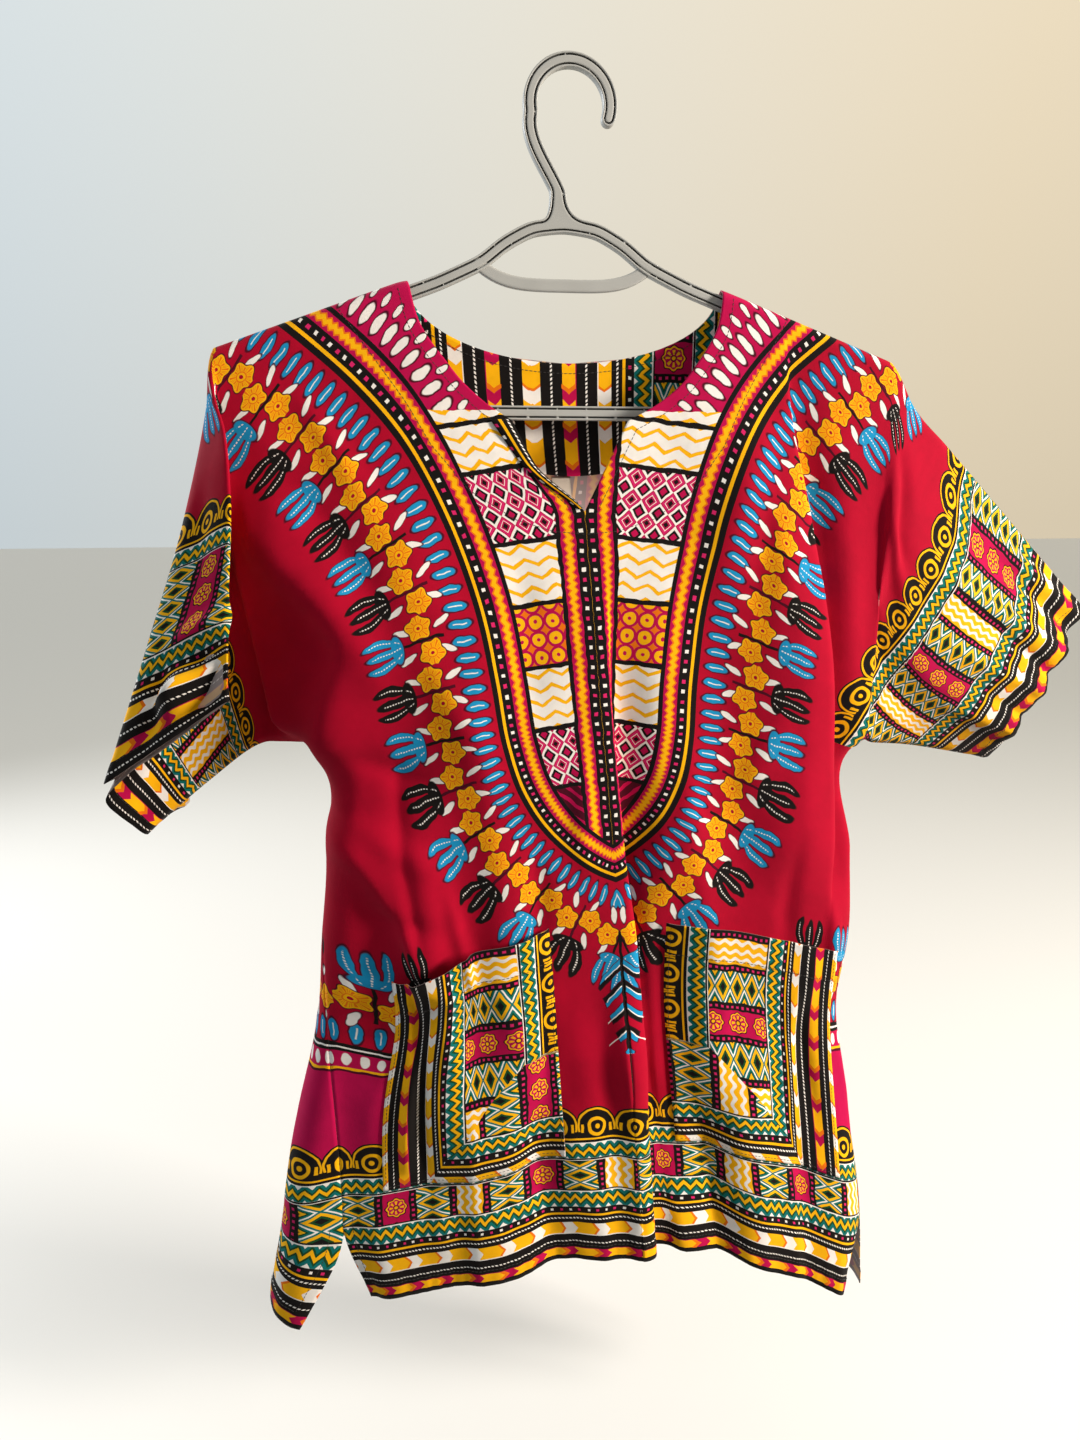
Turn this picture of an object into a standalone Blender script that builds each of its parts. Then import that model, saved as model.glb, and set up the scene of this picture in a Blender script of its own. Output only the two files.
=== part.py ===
"""Dashiki shirt on a plastic coat hanger. Blender 4.5, metres, +Z up.

The origin is the inside top of the hook, where a rod or a peg carries it. The shirt's front
faces -Y, and +X is on the right of someone who looks at the front.

The shirt is cut as a dashiki is: a front and a back, each one flat T with the sleeves in one
with the body and no shoulder slope. A cut point is (across, drop), in metres from the centre
line and below the shoulder line. The drape functions carry cut points to their place on the
hanger, so every piece that is sewn on a panel is made from that panel's own points.
"""

import bpy
import bmesh
import numpy as np

# ---- the cut, in metres -------------------------------------------------------------------
HALF_CHEST = 0.235  # centre line to side seam, and to the line where the sleeve starts
HEM_DROP = 0.705  # shoulder line to hem
ARMPIT_DROP = 0.280
SLEEVE = 0.280  # length beyond the side seam's line
SLIT_DROP = 0.645  # the side seams stop here, and the slits start
NECK_HALF = 0.105
BACK_NECK_DROP = 0.048
SLIT_TOP_DROP = 0.088  # the round of the front neck ends here, and its slit starts
SLIT_FOOT_DROP = 0.147
NECKLINE = np.array([
    # drop, half of the front neck's opening
    (0.000, 0.1050),
    (0.030, 0.0975),
    (0.050, 0.0840),
    (0.066, 0.0700),
    (0.080, 0.0500),
    (0.088, 0.0340),
])
POCKET = dict(inner=0.056, width=0.146, top=0.440, height=0.180)
POCKET_COLUMNS = 14
BACK_FACING = dict(half=0.140, drop=0.122)  # outer edge: half an ellipse
SLIT_FACING_WIDTH = 0.016
LABEL = dict(width=0.014, height=0.016)

CLOTH = 0.0012  # wall of every cloth piece
SEAM = 0.0003  # gap between neighbours
FOLD_ROUND = 0.0035  # softness of a pleat's two turns
FOLD_GAP = 0.010  # how far apart a pleat's layers lie
EDGE_ROUND = 0.004  # how far each layer stands off a sleeve's seams

# ---- the hanger ----------------------------------------------------------------------------
HOOK_RADIUS = 0.026
HOOK_CENTRE = (0.004, -0.0215)
BAND = 0.009  # height of the moulded band, seen from the front
BAND_DEPTH = 0.006
ARM_START = (0.083, -0.1312)
ARM_END = (0.2130, -0.1782)
BAR_HEIGHT = -0.2110
BAR_CORNER = 0.014

# ---- how the body hangs: one row for each level of the cloth --------------------------------
# drop below the shoulder line; height and centre: where the front's centre line is;
# left, right: the outline seen from the front; depth: front or back from Y = 0; crown: how much
# further the middle of the front stands out; sag and start: how steeply the level falls
# towards each side, and how far from the centre that starts
COLUMNS = "drop height centre left right depth crown sag_l start_l sag_r start_r".split()
BODY = np.array([
    (0.000, -0.1305, 0.0020, -0.420, 0.420, 0.0075, 0.000, 0.362, 0.105, 0.362, 0.105),
    (0.060, -0.1900, 0.0040, -0.420, 0.420, 0.0110, 0.003, 0.362, 0.104, 0.362, 0.105),
    (0.147, -0.2770, 0.0090, -0.380, 0.400, 0.0160, 0.008, 0.350, 0.100, 0.362, 0.100),
    (0.220, -0.3480, 0.0140, -0.270, 0.300, 0.0190, 0.012, 0.300, 0.090, 0.360, 0.100),
    (0.280, -0.4070, 0.0185, -0.177, 0.214, 0.0200, 0.014, 0.250, 0.075, 0.360, 0.100),
    (0.360, -0.4850, 0.0255, -0.170, 0.216, 0.0210, 0.015, 0.200, 0.050, 0.360, 0.100),
    (0.430, -0.5520, 0.0310, -0.176, 0.218, 0.0210, 0.014, 0.150, 0.020, 0.360, 0.100),
    (0.485, -0.6060, 0.0350, -0.181, 0.211, 0.0200, 0.012, 0.140, 0.000, 0.380, 0.100),
    (0.560, -0.6760, 0.0390, -0.199, 0.222, 0.0230, 0.014, 0.150, -0.020, 0.420, 0.100),
    (0.640, -0.7520, 0.0440, -0.217, 0.238, 0.0260, 0.016, 0.160, -0.030, 0.500, 0.100),
    (0.705, -0.8155, 0.0480, -0.228, 0.243, 0.0280, 0.018, 0.170, -0.040, 0.600, 0.100),
    (0.800, -0.9080, 0.0540, -0.234, 0.247, 0.0290, 0.018, 0.170, -0.040, 0.600, 0.100),
])

# cloth taken up by small folds, as the share of the cut that is left at each side
EASE = np.array([
    # drop, left, right
    (0.000, 1.000, 1.000),
    (0.147, 0.990, 1.000),
    (0.280, 0.940, 1.000),
    (0.360, 0.920, 0.970),
    (0.430, 0.910, 0.930),
    (0.485, 0.905, 0.910),
    (0.600, 0.910, 0.940),
    (0.705, 0.940, 0.980),
])

# ---- pleats, where a layer turns back under itself ------------------------------------------
CENTRE_PLEAT = np.array([
    # drop, past the inner edge, hidden width
    (0.000, 0.012, 0.000),
    (0.170, 0.012, 0.000),
    (0.280, 0.010, 0.005),
    (0.450, 0.012, 0.009),
    (0.705, 0.014, 0.009),
])
ARMHOLE_PLEAT = np.array([
    # drop, across, hidden width
    (0.000, 0.150, 0.000),
    (0.060, 0.154, 0.003),
    (0.150, 0.166, 0.008),
    (0.280, 0.184, 0.010),
    (0.360, 0.192, 0.006),
    (0.430, 0.196, 0.000),
    (0.705, 0.196, 0.000),
])

# ---- soft folds: a ridge, or a trough where height is negative ------------------------------
# across at top and foot; drop of top and foot; half width; height
FOLDS = [
    (-0.085, -0.095, 0.34, 0.60, 0.020, 0.006),
    (-0.150, -0.145, 0.32, 0.62, 0.020, 0.007),
    (-0.110, -0.100, 0.52, 0.78, 0.022, 0.006),
    (-0.035, -0.028, 0.48, 0.78, 0.018, 0.006),
    (0.000, 0.002, 0.46, 0.80, 0.014, 0.014),
    (0.050, 0.050, 0.40, 0.80, 0.018, -0.009),
    (0.105, 0.115, 0.50, 0.78, 0.022, 0.006),
    (0.160, 0.165, 0.46, 0.78, 0.018, -0.005),
    (0.085, 0.110, 0.16, 0.40, 0.026, -0.004),
    (-0.130, -0.100, 0.10, 0.33, 0.026, 0.004),
]
BACK_FOLDS = [
    (-0.130, -0.140, 0.30, 0.80, 0.026, 0.007),
    (-0.050, -0.040, 0.20, 0.80, 0.024, 0.007),
    (0.045, 0.060, 0.34, 0.80, 0.026, 0.009),
    (0.135, 0.150, 0.28, 0.80, 0.024, 0.007),
    (-0.092, -0.088, 0.36, 0.80, 0.020, -0.005),
    (0.000, 0.010, 0.40, 0.80, 0.020, -0.006),
    (0.092, 0.105, 0.42, 0.80, 0.020, -0.005),
]

# ---- the sleeves: one section for each row, from the sleeve's start to the cuff --------------
# along: share of the sleeve's length; the places of the top edge, the front ridge, the turn
# behind it, the under seam and the middle of the back; share_r, share_t: how far round the
# front's cloth the ridge and the turn are; half: cloth from top edge to under seam
SLEEVE_COLUMNS = "along top ridge turn under back share_r share_t half".split()
LEFT_SLEEVE = [
    (0.12, (-.232, -.003, -.212), (-.2165, -.029, -.224), (-.230, .007, -.277),
     (-.196, .014, -.432), (-.228, .030, -.320), 0.13, 0.34, 0.273),
    (0.34, (-.249, -.008, -.279), (-.213, -.040, -.262), (-.236, .010, -.323),
     (-.214, .019, -.434), (-.236, .044, -.350), 0.21, 0.48, 0.262),
    (0.67, (-.276, -.010, -.357), (-.215, -.046, -.330), (-.266, .012, -.391),
     (-.250, .020, -.459), (-.262, .062, -.402), 0.31, 0.64, 0.244),
    (1.00, (-.311, -.011, -.452), (-.217, -.048, -.388), (-.306, .012, -.462),
     (-.294, .018, -.495), (-.272, .072, -.446), 0.42, 0.82, 0.225),
]
RIGHT_SLEEVE = [
    (0.12, (.250, .004, -.203), (.229, -.015, -.274), (.222, -.014, -.342),
     (.228, .008, -.446), (.246, .030, -.322), 0.33, 0.61, 0.273),
    (0.34, (.285, .014, -.232), (.242, -.012, -.298), (.232, -.006, -.352),
     (.243, .022, -.451), (.272, .050, -.340), 0.34, 0.62, 0.262),
    (0.67, (.356, .040, -.286), (.302, .004, -.343), (.280, .006, -.403),
     (.288, .042, -.459), (.335, .088, -.380), 0.36, 0.68, 0.244),
    (1.00, (.438, .066, -.352), (.399, .032, -.394), (.370, .032, -.443),
     (.362, .062, -.476), (.408, .118, -.415), 0.36, 0.74, 0.225),
]


def softly(t, r):
    """A ramp that is 0 before t = 0 and t after it, with a corner of softness r."""
    return (t + np.sqrt(t * t + r * r)) / 2


def step(t, r):
    """The slope of softly(): 0 before t = 0 and 1 after it."""
    return (1 + t / np.sqrt(t * t + r * r)) / 2


def through(x, xs, ys):
    """A smooth line through the points (xs, ys): cubics whose slopes come from the neighbours."""
    x, xs, ys = np.asarray(x, float), np.asarray(xs, float), np.asarray(ys, float)
    slopes = np.gradient(ys, xs, axis=0)
    i = np.clip(np.searchsorted(xs, x) - 1, 0, len(xs) - 2)
    width = xs[i + 1] - xs[i]
    t = np.clip((x - xs[i]) / width, 0, 1)
    t, width = (v.reshape(v.shape + (1,) * (ys.ndim - 1)) for v in (t, width))
    return (ys[i] * (1 + 2 * t) * (1 - t) ** 2 + ys[i + 1] * (3 - 2 * t) * t**2
            + width * slopes[i] * t * (1 - t) ** 2 - width * slopes[i + 1] * t**2 * (1 - t))


def level(column, drop):
    """A column of BODY at this drop."""
    return through(drop, BODY[:, 0], BODY[:, COLUMNS.index(column)])


def front_neck(drop):
    """Half the front neck's opening: a scoop, then a slit that closes at its foot."""
    scoop = through(drop, NECKLINE[:, 0], NECKLINE[:, 1])
    slit = NECKLINE[-1, 1] * (SLIT_FOOT_DROP - drop) / (SLIT_FOOT_DROP - SLIT_TOP_DROP)
    return np.where(drop < SLIT_TOP_DROP, scoop, np.clip(slit, 0, None))


def back_neck(drop):
    """Half the back neck's opening: half an ellipse."""
    return NECK_HALF * np.sqrt(np.clip(1 - (drop / BACK_NECK_DROP) ** 2, 0, 1))


def pleated(across, line, hidden):
    """Where cloth lies once it turns back under itself at line, and how far behind it lies."""
    t = across - line
    folded = across - 2 * (softly(t, FOLD_ROUND) - softly(t - hidden, FOLD_ROUND))
    gap = FOLD_GAP * smooth(hidden / 0.006)
    back_again = 1 - smooth((t - hidden - 0.008) / 0.03)
    return folded, back_again * gap / 2 * (step(t, FOLD_ROUND) + step(t - hidden, FOLD_ROUND))


def centre_pleat(drop):
    """Across and hidden width of the pleat beside the centre front."""
    inner = np.where(drop < SLIT_FOOT_DROP, front_neck(drop), 0)
    return (inner + through(drop, CENTRE_PLEAT[:, 0], CENTRE_PLEAT[:, 1]),
            np.clip(through(drop, CENTRE_PLEAT[:, 0], CENTRE_PLEAT[:, 2]), 0, None))


def armhole_pleat(drop):
    """Across and hidden width of the pleat where the right sleeve leaves the body."""
    return (through(drop, ARMHOLE_PLEAT[:, 0], ARMHOLE_PLEAT[:, 1]),
            np.clip(through(drop, ARMHOLE_PLEAT[:, 0], ARMHOLE_PLEAT[:, 2]), 0, None))


def soft_folds(folds, across, drop):
    """The sum of the soft folds' heights at a cut point."""
    total = np.zeros(np.broadcast(across, drop).shape)
    for top, foot, start, end, width, height in folds:
        t = (drop - start) / (end - start)
        fade = smooth(3 * np.minimum(t, 1.15 - t))
        total = total + height * fade * np.exp(-((across - top - (foot - top) * t) / width) ** 2)
    return total


def smooth(t):
    """0 to 1 and level at both ends, for t from 0 to 1."""
    t = np.clip(t, 0, 1)
    return t * t * (3 - 2 * t)


def sagging(side, drop):
    """How steeply this level falls towards a side, and from where."""
    left, right = (np.stack([level(k + s, drop) for k in ("sag_", "start_")]) for s in "lr")
    return np.where(side < 0, left, right)


def sag(x, drop):
    """How far a level of the cloth has dropped at this x."""
    slope, start = sagging(x, drop)
    soft = 0.004 + 0.06 * drop
    return slope * (softly(np.abs(x) - start, soft) - softly(-start, soft))


def foreshortened(arc, drop):
    """Level width of cloth that slopes: it covers less ground than its own width."""
    slope, start = sagging(arc, drop)
    start = np.maximum(start, 0)
    less = 1 - 1 / np.sqrt(1 + slope * slope)
    return arc - np.sign(arc) * less * (softly(np.abs(arc) - start, 0.01) - softly(-start, 0.01))


def lie(arc, drop, centre, face):
    """A place on the tube that the body makes, at this arc length from centre on one face.

    Each level is a flat tube: straight front and back, joined by half rounds at the outline.
    """
    depth = level("depth", drop)
    side = np.where(arc < 0, -1.0, 1.0)
    reach = np.where(arc < 0, centre - level("left", drop), level("right", drop) - centre) - depth
    turn = np.clip(np.abs(arc) - reach, 0, np.pi * depth)
    beyond = np.clip(np.abs(arc) - reach - np.pi * depth, 0, None)
    x = centre + side * (np.clip(np.abs(arc), None, reach) + depth * np.sin(turn / depth) - beyond)
    shoulder_round = np.sqrt(1 - (1 - np.clip(drop / 0.0075, 0, 1)) ** 2)
    return x, face * depth * np.cos(turn / depth) * shoulder_round


def front_arc(across, drop):
    """Width of the front's cloth from the centre line as it lies, and how far back pleats put it."""
    line, hidden = centre_pleat(drop)
    arc, behind = pleated(across, line, hidden)
    line, hidden = armhole_pleat(drop)
    second, further = pleated(across, line, hidden)
    ease = np.where(across < 0, through(drop, EASE[:, 0], EASE[:, 1]),
                    through(drop, EASE[:, 0], EASE[:, 2]))
    return foreshortened((arc + second - across) * ease, drop), behind + further


def drape_front(across, drop):
    """Front: cut point to place."""
    across, drop = np.broadcast_arrays(np.asarray(across, float), np.asarray(drop, float))
    arc, behind = front_arc(across, drop)
    x, y = lie(arc, drop, level("centre", drop), -1)
    facing = np.clip(-y / level("depth", drop), 0, 1)
    free = smooth((HALF_CHEST - np.abs(across)) / 0.03)
    y = y + facing * (behind - free * (crown(x, drop) + soft_folds(FOLDS, across, drop)))
    tucked = smooth((-across - 0.180) / 0.045) * smooth((drop - 0.04) / 0.045) * smooth((0.38 - drop) / 0.12)
    y = y + facing * 0.021 * tucked
    flare = smooth((drop - SLIT_DROP) / 0.08) * np.exp((np.abs(across) - HALF_CHEST) / 0.03)
    return np.stack([x - np.sign(across) * 0.022 * flare, y, level("height", drop) - sag(x, drop)], -1)


def crown(x, drop):
    """How far the middle of a level stands out."""
    left, right = level("left", drop), level("right", drop)
    return level("crown", drop) * np.clip(1 - ((2 * x - left - right) / (right - left)) ** 2, 0, 1)


def drape_back(across, drop):
    """Back: cut point to place.

    Under the armpit the back fills the level's outline from one of the front's side seams to
    the other. Above it, levels ease back to the cut's own width. Under the slit the corners
    swing, most on the left.
    """
    across, drop = np.broadcast_arrays(np.asarray(across, float), np.asarray(drop, float))
    side = np.where(across < 0, -1.0, 1.0)
    u, v = np.abs(across) - HALF_CHEST, drop - SLIT_DROP
    swing = np.where(across < 0, 0.42, 0.10) * smooth(1 + u / 0.11) * smooth(0.5 + v / 0.05)
    across = side * (HALF_CHEST + u * np.cos(swing) - v * np.sin(swing))
    drop = np.where(swing > 0, SLIT_DROP + v * np.cos(swing) + u * np.sin(swing), drop)

    low = smooth(drop / ARMPIT_DROP)
    below = np.maximum(drop, ARMPIT_DROP)
    centre, left, right = (level(k, drop) for k in ("centre", "left", "right"))
    low_centre, low_left, low_right = (level(k, below) for k in ("centre", "left", "right"))
    seam = np.abs(front_arc(side * HALF_CHEST, below)[0])
    edge = np.where(across < 0, low_left, low_right)
    depth = level("depth", below)
    middle = (low_left + low_right) / 2
    wide = np.abs(edge - middle) + np.abs(edge - low_centre) + (np.pi - 2) * depth - seam
    arc = (1 - low) * foreshortened(across, drop) + low * across * wide / HALF_CHEST
    arc = arc * (1 - 0.08 * smooth((drop - 0.10) / 0.10) * smooth((ARMPIT_DROP - drop) / 0.03))
    x, y = lie(arc, drop, centre * (1 - low) + low * (left + right) / 2, 1)
    facing = np.clip(y / level("depth", drop), 0, 1)
    y = y + facing * (0.3 * crown(x, drop) + soft_folds(BACK_FOLDS, across, drop))
    lower = 0.05 * np.maximum(swing, 0) * (across < 0)
    return np.stack([x, y, level("height", drop) - sag(x, drop) - lower], -1)


def soft_polyline(t, knots, places, r):
    """Straight runs between places, at the knots of t, with corners of softness r."""
    places = np.asarray(places, float)
    slopes = np.diff(places, axis=0) / np.diff(knots)[:, None]
    out = places[0] + slopes[0] * t[:, None]
    for k in range(1, len(slopes)):
        ramp = softly(t - knots[k], r) - softly(-knots[k], r) * (1 - t)
        out = out + (slopes[k] - slopes[k - 1]) * (ramp - softly(1 - knots[k], r) * t
                                                   + (1 - knots[k]) * t)[:, None]
    return out


def sleeve_section(row, face, count):
    """One section of a sleeve, from its top edge to its under seam."""
    if face < 0:
        knots = [0, row["share_r"], row["share_t"], 1]
        share = row_shares(knots, count)
        places = soft_polyline(share, knots, [row[k] for k in ("top", "ridge", "turn", "under")], 0.03)
    else:
        share = UPPER[:count]
        places = soft_polyline(share, [0, 0.5, 1], [row[k] for k in ("top", "back", "under")], 0.20)
    places[:, 1] += face * EDGE_ROUND * (edge(share) * (1 - share) + edge(1 - share) * share)
    return places


def edge(share):
    """A round edge's profile: 0 at the edge, 1 from 3 % of the cloth on."""
    return np.sqrt(1 - (1 - np.clip(share / 0.03, 0, 1)) ** 2)


def row_shares(knots, count=None):
    """Shares of the cloth for the rows that run into a sleeve: they follow its ridge and turn."""
    return np.interp(UPPER[:count], [0, RIDGE_ROW, TURN_ROW, 1], knots)


def start_shares(side, face):
    """Where the rows that run into a sleeve start, as shares of the armhole line."""
    return row_shares([0, 0.125, 0.30, 1]) if face < 0 and side < 0 else UPPER


def drape_sleeve(side, face):
    """A grid of places on a sleeve: from the armhole line to the cuff, rows round it.

    The first section leaves the body along the body's own cloth, so there is no corner.
    """
    drape = drape_front if face < 0 else drape_back
    drops = start_shares(side, face) * ARMPIT_DROP
    inside, start = (drape(side * across, drops) for across in (HALF_CHEST - 0.05, HALF_CHEST))
    seams = [(drape_front(side * (HALF_CHEST - 0.05), d) + drape_back(side * (HALF_CHEST - 0.05), d)) / 2
             for d in (0.0, ARMPIT_DROP)]
    inside[0], inside[-1] = seams
    table = [dict(zip(SLEEVE_COLUMNS, row)) for row in (LEFT_SLEEVE if side < 0 else RIGHT_SLEEVE)]
    sections = [inside, start] + [sleeve_section(row, face, len(UPPER)) for row in table]
    return through(ALONG, [-0.18, 0.0] + [row["along"] for row in table], np.array(sections))


# ---- grids ----------------------------------------------------------------------------------
def spaced(*stops):
    """Numbers from stop to stop: (first, (next, how many steps), ...)."""
    out = [np.array([stops[0]])]
    for end, count in stops[1:]:
        out.append(np.linspace(out[-1][-1], end, count + 1)[1:])
    return np.concatenate(out)


RIDGE_ROW, TURN_ROW = SLIT_TOP_DROP / ARMPIT_DROP, 0.62
UPPER = spaced(0, (0.03, 2), (RIDGE_ROW, 3), (SLIT_FOOT_DROP / ARMPIT_DROP, 2), (TURN_ROW, 1), (1, 4))
LOWER = spaced(ARMPIT_DROP, (POCKET["top"], 3), (POCKET["top"] + POCKET["height"], 5),
               (SLIT_DROP, 1), (HEM_DROP, 2))
ALONG = spaced(0, (0.34, 3), (1, 4))
TURN = np.array([-1.3, -0.45, 0.45, 1.3]) * FOLD_ROUND


def front_lines(side, drop):
    """Across of each upright grid line of a front half, at one drop."""
    inner = float(front_neck(drop))
    pocket_inner = inner + (HALF_CHEST - inner) * POCKET["inner"] / HALF_CHEST
    if side < 0:
        return -spaced(inner, (pocket_inner, 6), (pocket_outer(inner), POCKET_COLUMNS), (HALF_CHEST, 3))
    line, hidden = (float(v) for v in centre_pleat(np.array(drop)))
    first, last = line + TURN, line + max(hidden, 2.8 * FOLD_ROUND) + TURN
    line, hidden = (float(v) for v in armhole_pleat(np.array(drop)))
    near, far = line + TURN, line + max(hidden, 2.8 * FOLD_ROUND) + TURN
    return np.concatenate([
        [inner], first, last, spaced(last[-1], (pocket_inner, 2), (near[0], POCKET_COLUMNS - 4))[1:-1],
        near, far, np.linspace(far[-1], HALF_CHEST, 3)[1:],
    ])


def pocket_outer(inner):
    """Across of the line that becomes the pocket's outer edge, where the opening is this wide."""
    return inner + (HALF_CHEST - inner) * (POCKET["inner"] + POCKET["width"]) / HALF_CHEST


def front_half(side):
    """Rows of cut points for one half of the front, from the shoulder to the hem."""
    out = []
    for share, outer in zip(UPPER, start_shares(side, -1)):
        lines = np.abs(front_lines(side, share * ARMPIT_DROP))
        reach = (lines - lines[0]) / (HALF_CHEST - lines[0])
        drops = (share + (outer - share) * reach) * ARMPIT_DROP
        out.append([(front_lines(side, drop)[k], drop) for k, drop in enumerate(drops)])
    for drop in LOWER[1:]:
        out.append([(line, drop) for line in front_lines(side, drop)])
    return np.array(out)


def back_half(side):
    """Rows of cut points for one half of the back."""
    out = []
    for drop in np.concatenate([UPPER * ARMPIT_DROP, LOWER[1:]]):
        inner = float(back_neck(drop))
        out.append([(side * line, drop) for line in np.linspace(inner, HALF_CHEST, 15)])
    return np.array(out)


def surface(name, patches):
    """One open mesh from patches of grid places, their shared edges merged."""
    bm = bmesh.new()
    for grid in patches:
        verts = [[bm.verts.new(p) for p in row] for row in grid]
        for a, b in zip(verts[:-1], verts[1:]):
            for k in range(len(a) - 1):
                bm.faces.new((a[k], a[k + 1], b[k + 1], b[k]))
    bmesh.ops.remove_doubles(bm, verts=bm.verts, dist=0.00005)
    bmesh.ops.recalc_face_normals(bm, faces=bm.faces)
    mesh = bpy.data.meshes.new(name)
    bm.to_mesh(mesh)
    bm.free()
    mesh.shade_smooth()
    return mesh


def facing_out(mesh, towards):
    """Turn the mesh's faces so that most of them face a direction."""
    area = sum(p.area * p.normal.dot(towards) for p in mesh.polygons)
    if area < 0:
        mesh.flip_normals()


COLLECTION = bpy.data.collections.new("dashiki_shirt_on_hanger")


def material(name, colour, roughness, metallic=0.0):
    """A plain Principled material."""
    mat = bpy.data.materials.new(name)
    mat.use_nodes = True
    shader = mat.node_tree.nodes["Principled BSDF"]
    shader.inputs["Base Color"].default_value = (*colour, 1)
    shader.inputs["Roughness"].default_value = roughness
    shader.inputs["Metallic"].default_value = metallic
    return mat


def add(name, data, mat):
    """An object in the part's collection."""
    obj = bpy.data.objects.new(name, data)
    data.materials.append(mat)
    COLLECTION.objects.link(obj)
    return obj


def cloth(name, patches, mat, towards, outwards=1):
    """A cloth piece: an open surface, thickened away from the body (or towards it)."""
    mesh = surface(name, patches)
    facing_out(mesh, towards)
    obj = add(name, mesh, mat)
    wall = obj.modifiers.new("wall", "SOLIDIFY")
    wall.thickness = CLOTH
    wall.offset = outwards
    return obj


# ---- the shirt --------------------------------------------------------------------------------
def build_panel(name, face, mat):
    """Front or back panel with its half sleeves, in one piece."""
    drape, half = (drape_front, front_half) if face < 0 else (drape_back, back_half)
    patches = []
    for side in (-1, 1):
        cut = half(side)
        cut[:, -1, 0] -= side * SEAM / 2 * (cut[:, -1, 1] > ARMPIT_DROP)
        body = drape(cut[..., 0], cut[..., 1])
        body[0, :, 1] += face * SEAM / 2
        sleeve, other = drape_sleeve(side, face), drape_sleeve(side, -face)
        for edge, inner in ((0, 1), (-1, -2)):
            apart = sleeve[1:, inner] - other[1:, inner]
            sleeve[1:, edge] += apart / np.linalg.norm(apart, axis=-1, keepdims=True) * SEAM / 2
        sleeve[0] = body[:len(UPPER), -1]
        patches += [body, sleeve]
    cloth(name, patches, mat, (0, face, 0))


def on_panel(face, across, drop, distance):
    """Places on a panel, moved out along its normal."""
    drape = drape_front if face < 0 else drape_back
    eps = 0.001
    places = drape(across, drop)
    normal = np.cross(drape(across + eps, drop) - places, drape(across, drop + eps) - places)
    normal /= np.linalg.norm(normal, axis=-1, keepdims=True)
    return places + face * normal * np.asarray(distance)[..., None]


def build_pocket(name, side, mat):
    """Patch pocket: the front's own points under it, moved out; it stands open at the top."""
    cut = front_half(side)
    top, foot = (int(np.argmin(np.abs(cut[:, 0, 1] - d)))
                 for d in (POCKET["top"], POCKET["top"] + POCKET["height"]))
    inner = int(np.argmin(np.abs(np.abs(cut[top, :, 0]) - POCKET["inner"])))
    cut = cut[top:foot + 1, inner:inner + POCKET_COLUMNS + 1]
    t, s = np.meshgrid(np.linspace(0, 1, cut.shape[0]), np.linspace(0, 1, cut.shape[1]), indexing="ij")
    room = np.sqrt(4 * s * (1 - s)) * (1 - t) ** 1.3
    standing = CLOTH + 2 * SEAM + (0.014 if side < 0 else 0.010) * room
    cloth(name, [on_panel(-1, cut[..., 0], cut[..., 1], standing)], mat, (0, -1, 0))


def build_back_facing(mat):
    """Shaped strip on the inside of the back neck."""
    turn, t = np.meshgrid(np.linspace(0.13, np.pi - 0.13, 25), np.linspace(0, 1, 5), indexing="ij")
    half = NECK_HALF + (BACK_FACING["half"] - NECK_HALF) * t
    deep = BACK_NECK_DROP + (BACK_FACING["drop"] - BACK_NECK_DROP) * t
    places = on_panel(1, half * np.cos(turn), deep * np.sin(turn), -2 * SEAM)
    cloth("neck_facing_back", [places], mat, (0, -1, 0))


def build_slit_facing(mat):
    """The facing's edge, turned out along the left side of the neck slit."""
    t, s = np.meshgrid(np.linspace(0, 1, 4), np.linspace(0.02, 0.96, 8))
    drop = SLIT_TOP_DROP + (SLIT_FOOT_DROP - SLIT_TOP_DROP) * s
    across = -front_neck(drop) - SEAM - (SLIT_FACING_WIDTH * (1 - s) + 0.002) * t
    lifted = CLOTH + SEAM + 0.001 * np.sin(np.pi * t)
    cloth("neck_facing_front", [on_panel(-1, across, drop, lifted)], mat, (0, -1, 0))


def build_label(mat):
    """Small woven label that hangs from the back facing's lower edge."""
    u, v = np.meshgrid(np.linspace(-0.5, 0.5, 3), np.linspace(0, 1, 3))
    across = -0.010 + LABEL["width"] * u
    drop = BACK_FACING["drop"] + 0.0008 + LABEL["height"] * v
    cloth("label", [on_panel(1, across, drop, -SEAM)], mat, (0, -1, 0))


# ---- the hanger ---------------------------------------------------------------------------------
def band(name, path, mat, width=BAND, depth=BAND_DEPTH):
    """A flat moulded band along an (x, z) path: its outline, filled and extruded."""
    path = np.asarray(path, float)
    tangent = np.gradient(path, axis=0)
    tangent /= np.linalg.norm(tangent, axis=1, keepdims=True)
    normal = np.stack([-tangent[:, 1], tangent[:, 0]], 1) * width / 2
    outline = np.concatenate([path + normal, (path - normal)[::-1]])
    curve = bpy.data.curves.new(name, "CURVE")
    curve.dimensions = "2D"
    curve.fill_mode = "BOTH"
    curve.extrude = depth / 2
    spline = curve.splines.new("POLY")
    spline.points.add(len(outline) - 1)
    for point, (x, z) in zip(spline.points, outline):
        point.co = (x, z, 0, 1)
    spline.use_cyclic_u = True
    obj = add(name, curve, mat)
    obj.rotation_euler = (np.pi / 2, 0, 0)
    return obj


def rounded_path(corners, count, softness):
    """A path through corners with soft bends."""
    corners = np.asarray(corners, float)
    lengths = np.concatenate([[0], np.cumsum(np.linalg.norm(np.diff(corners, axis=0), axis=1))])
    t = np.linspace(0, 1, count)
    return soft_polyline(t, lengths / lengths[-1], corners, softness)


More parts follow.
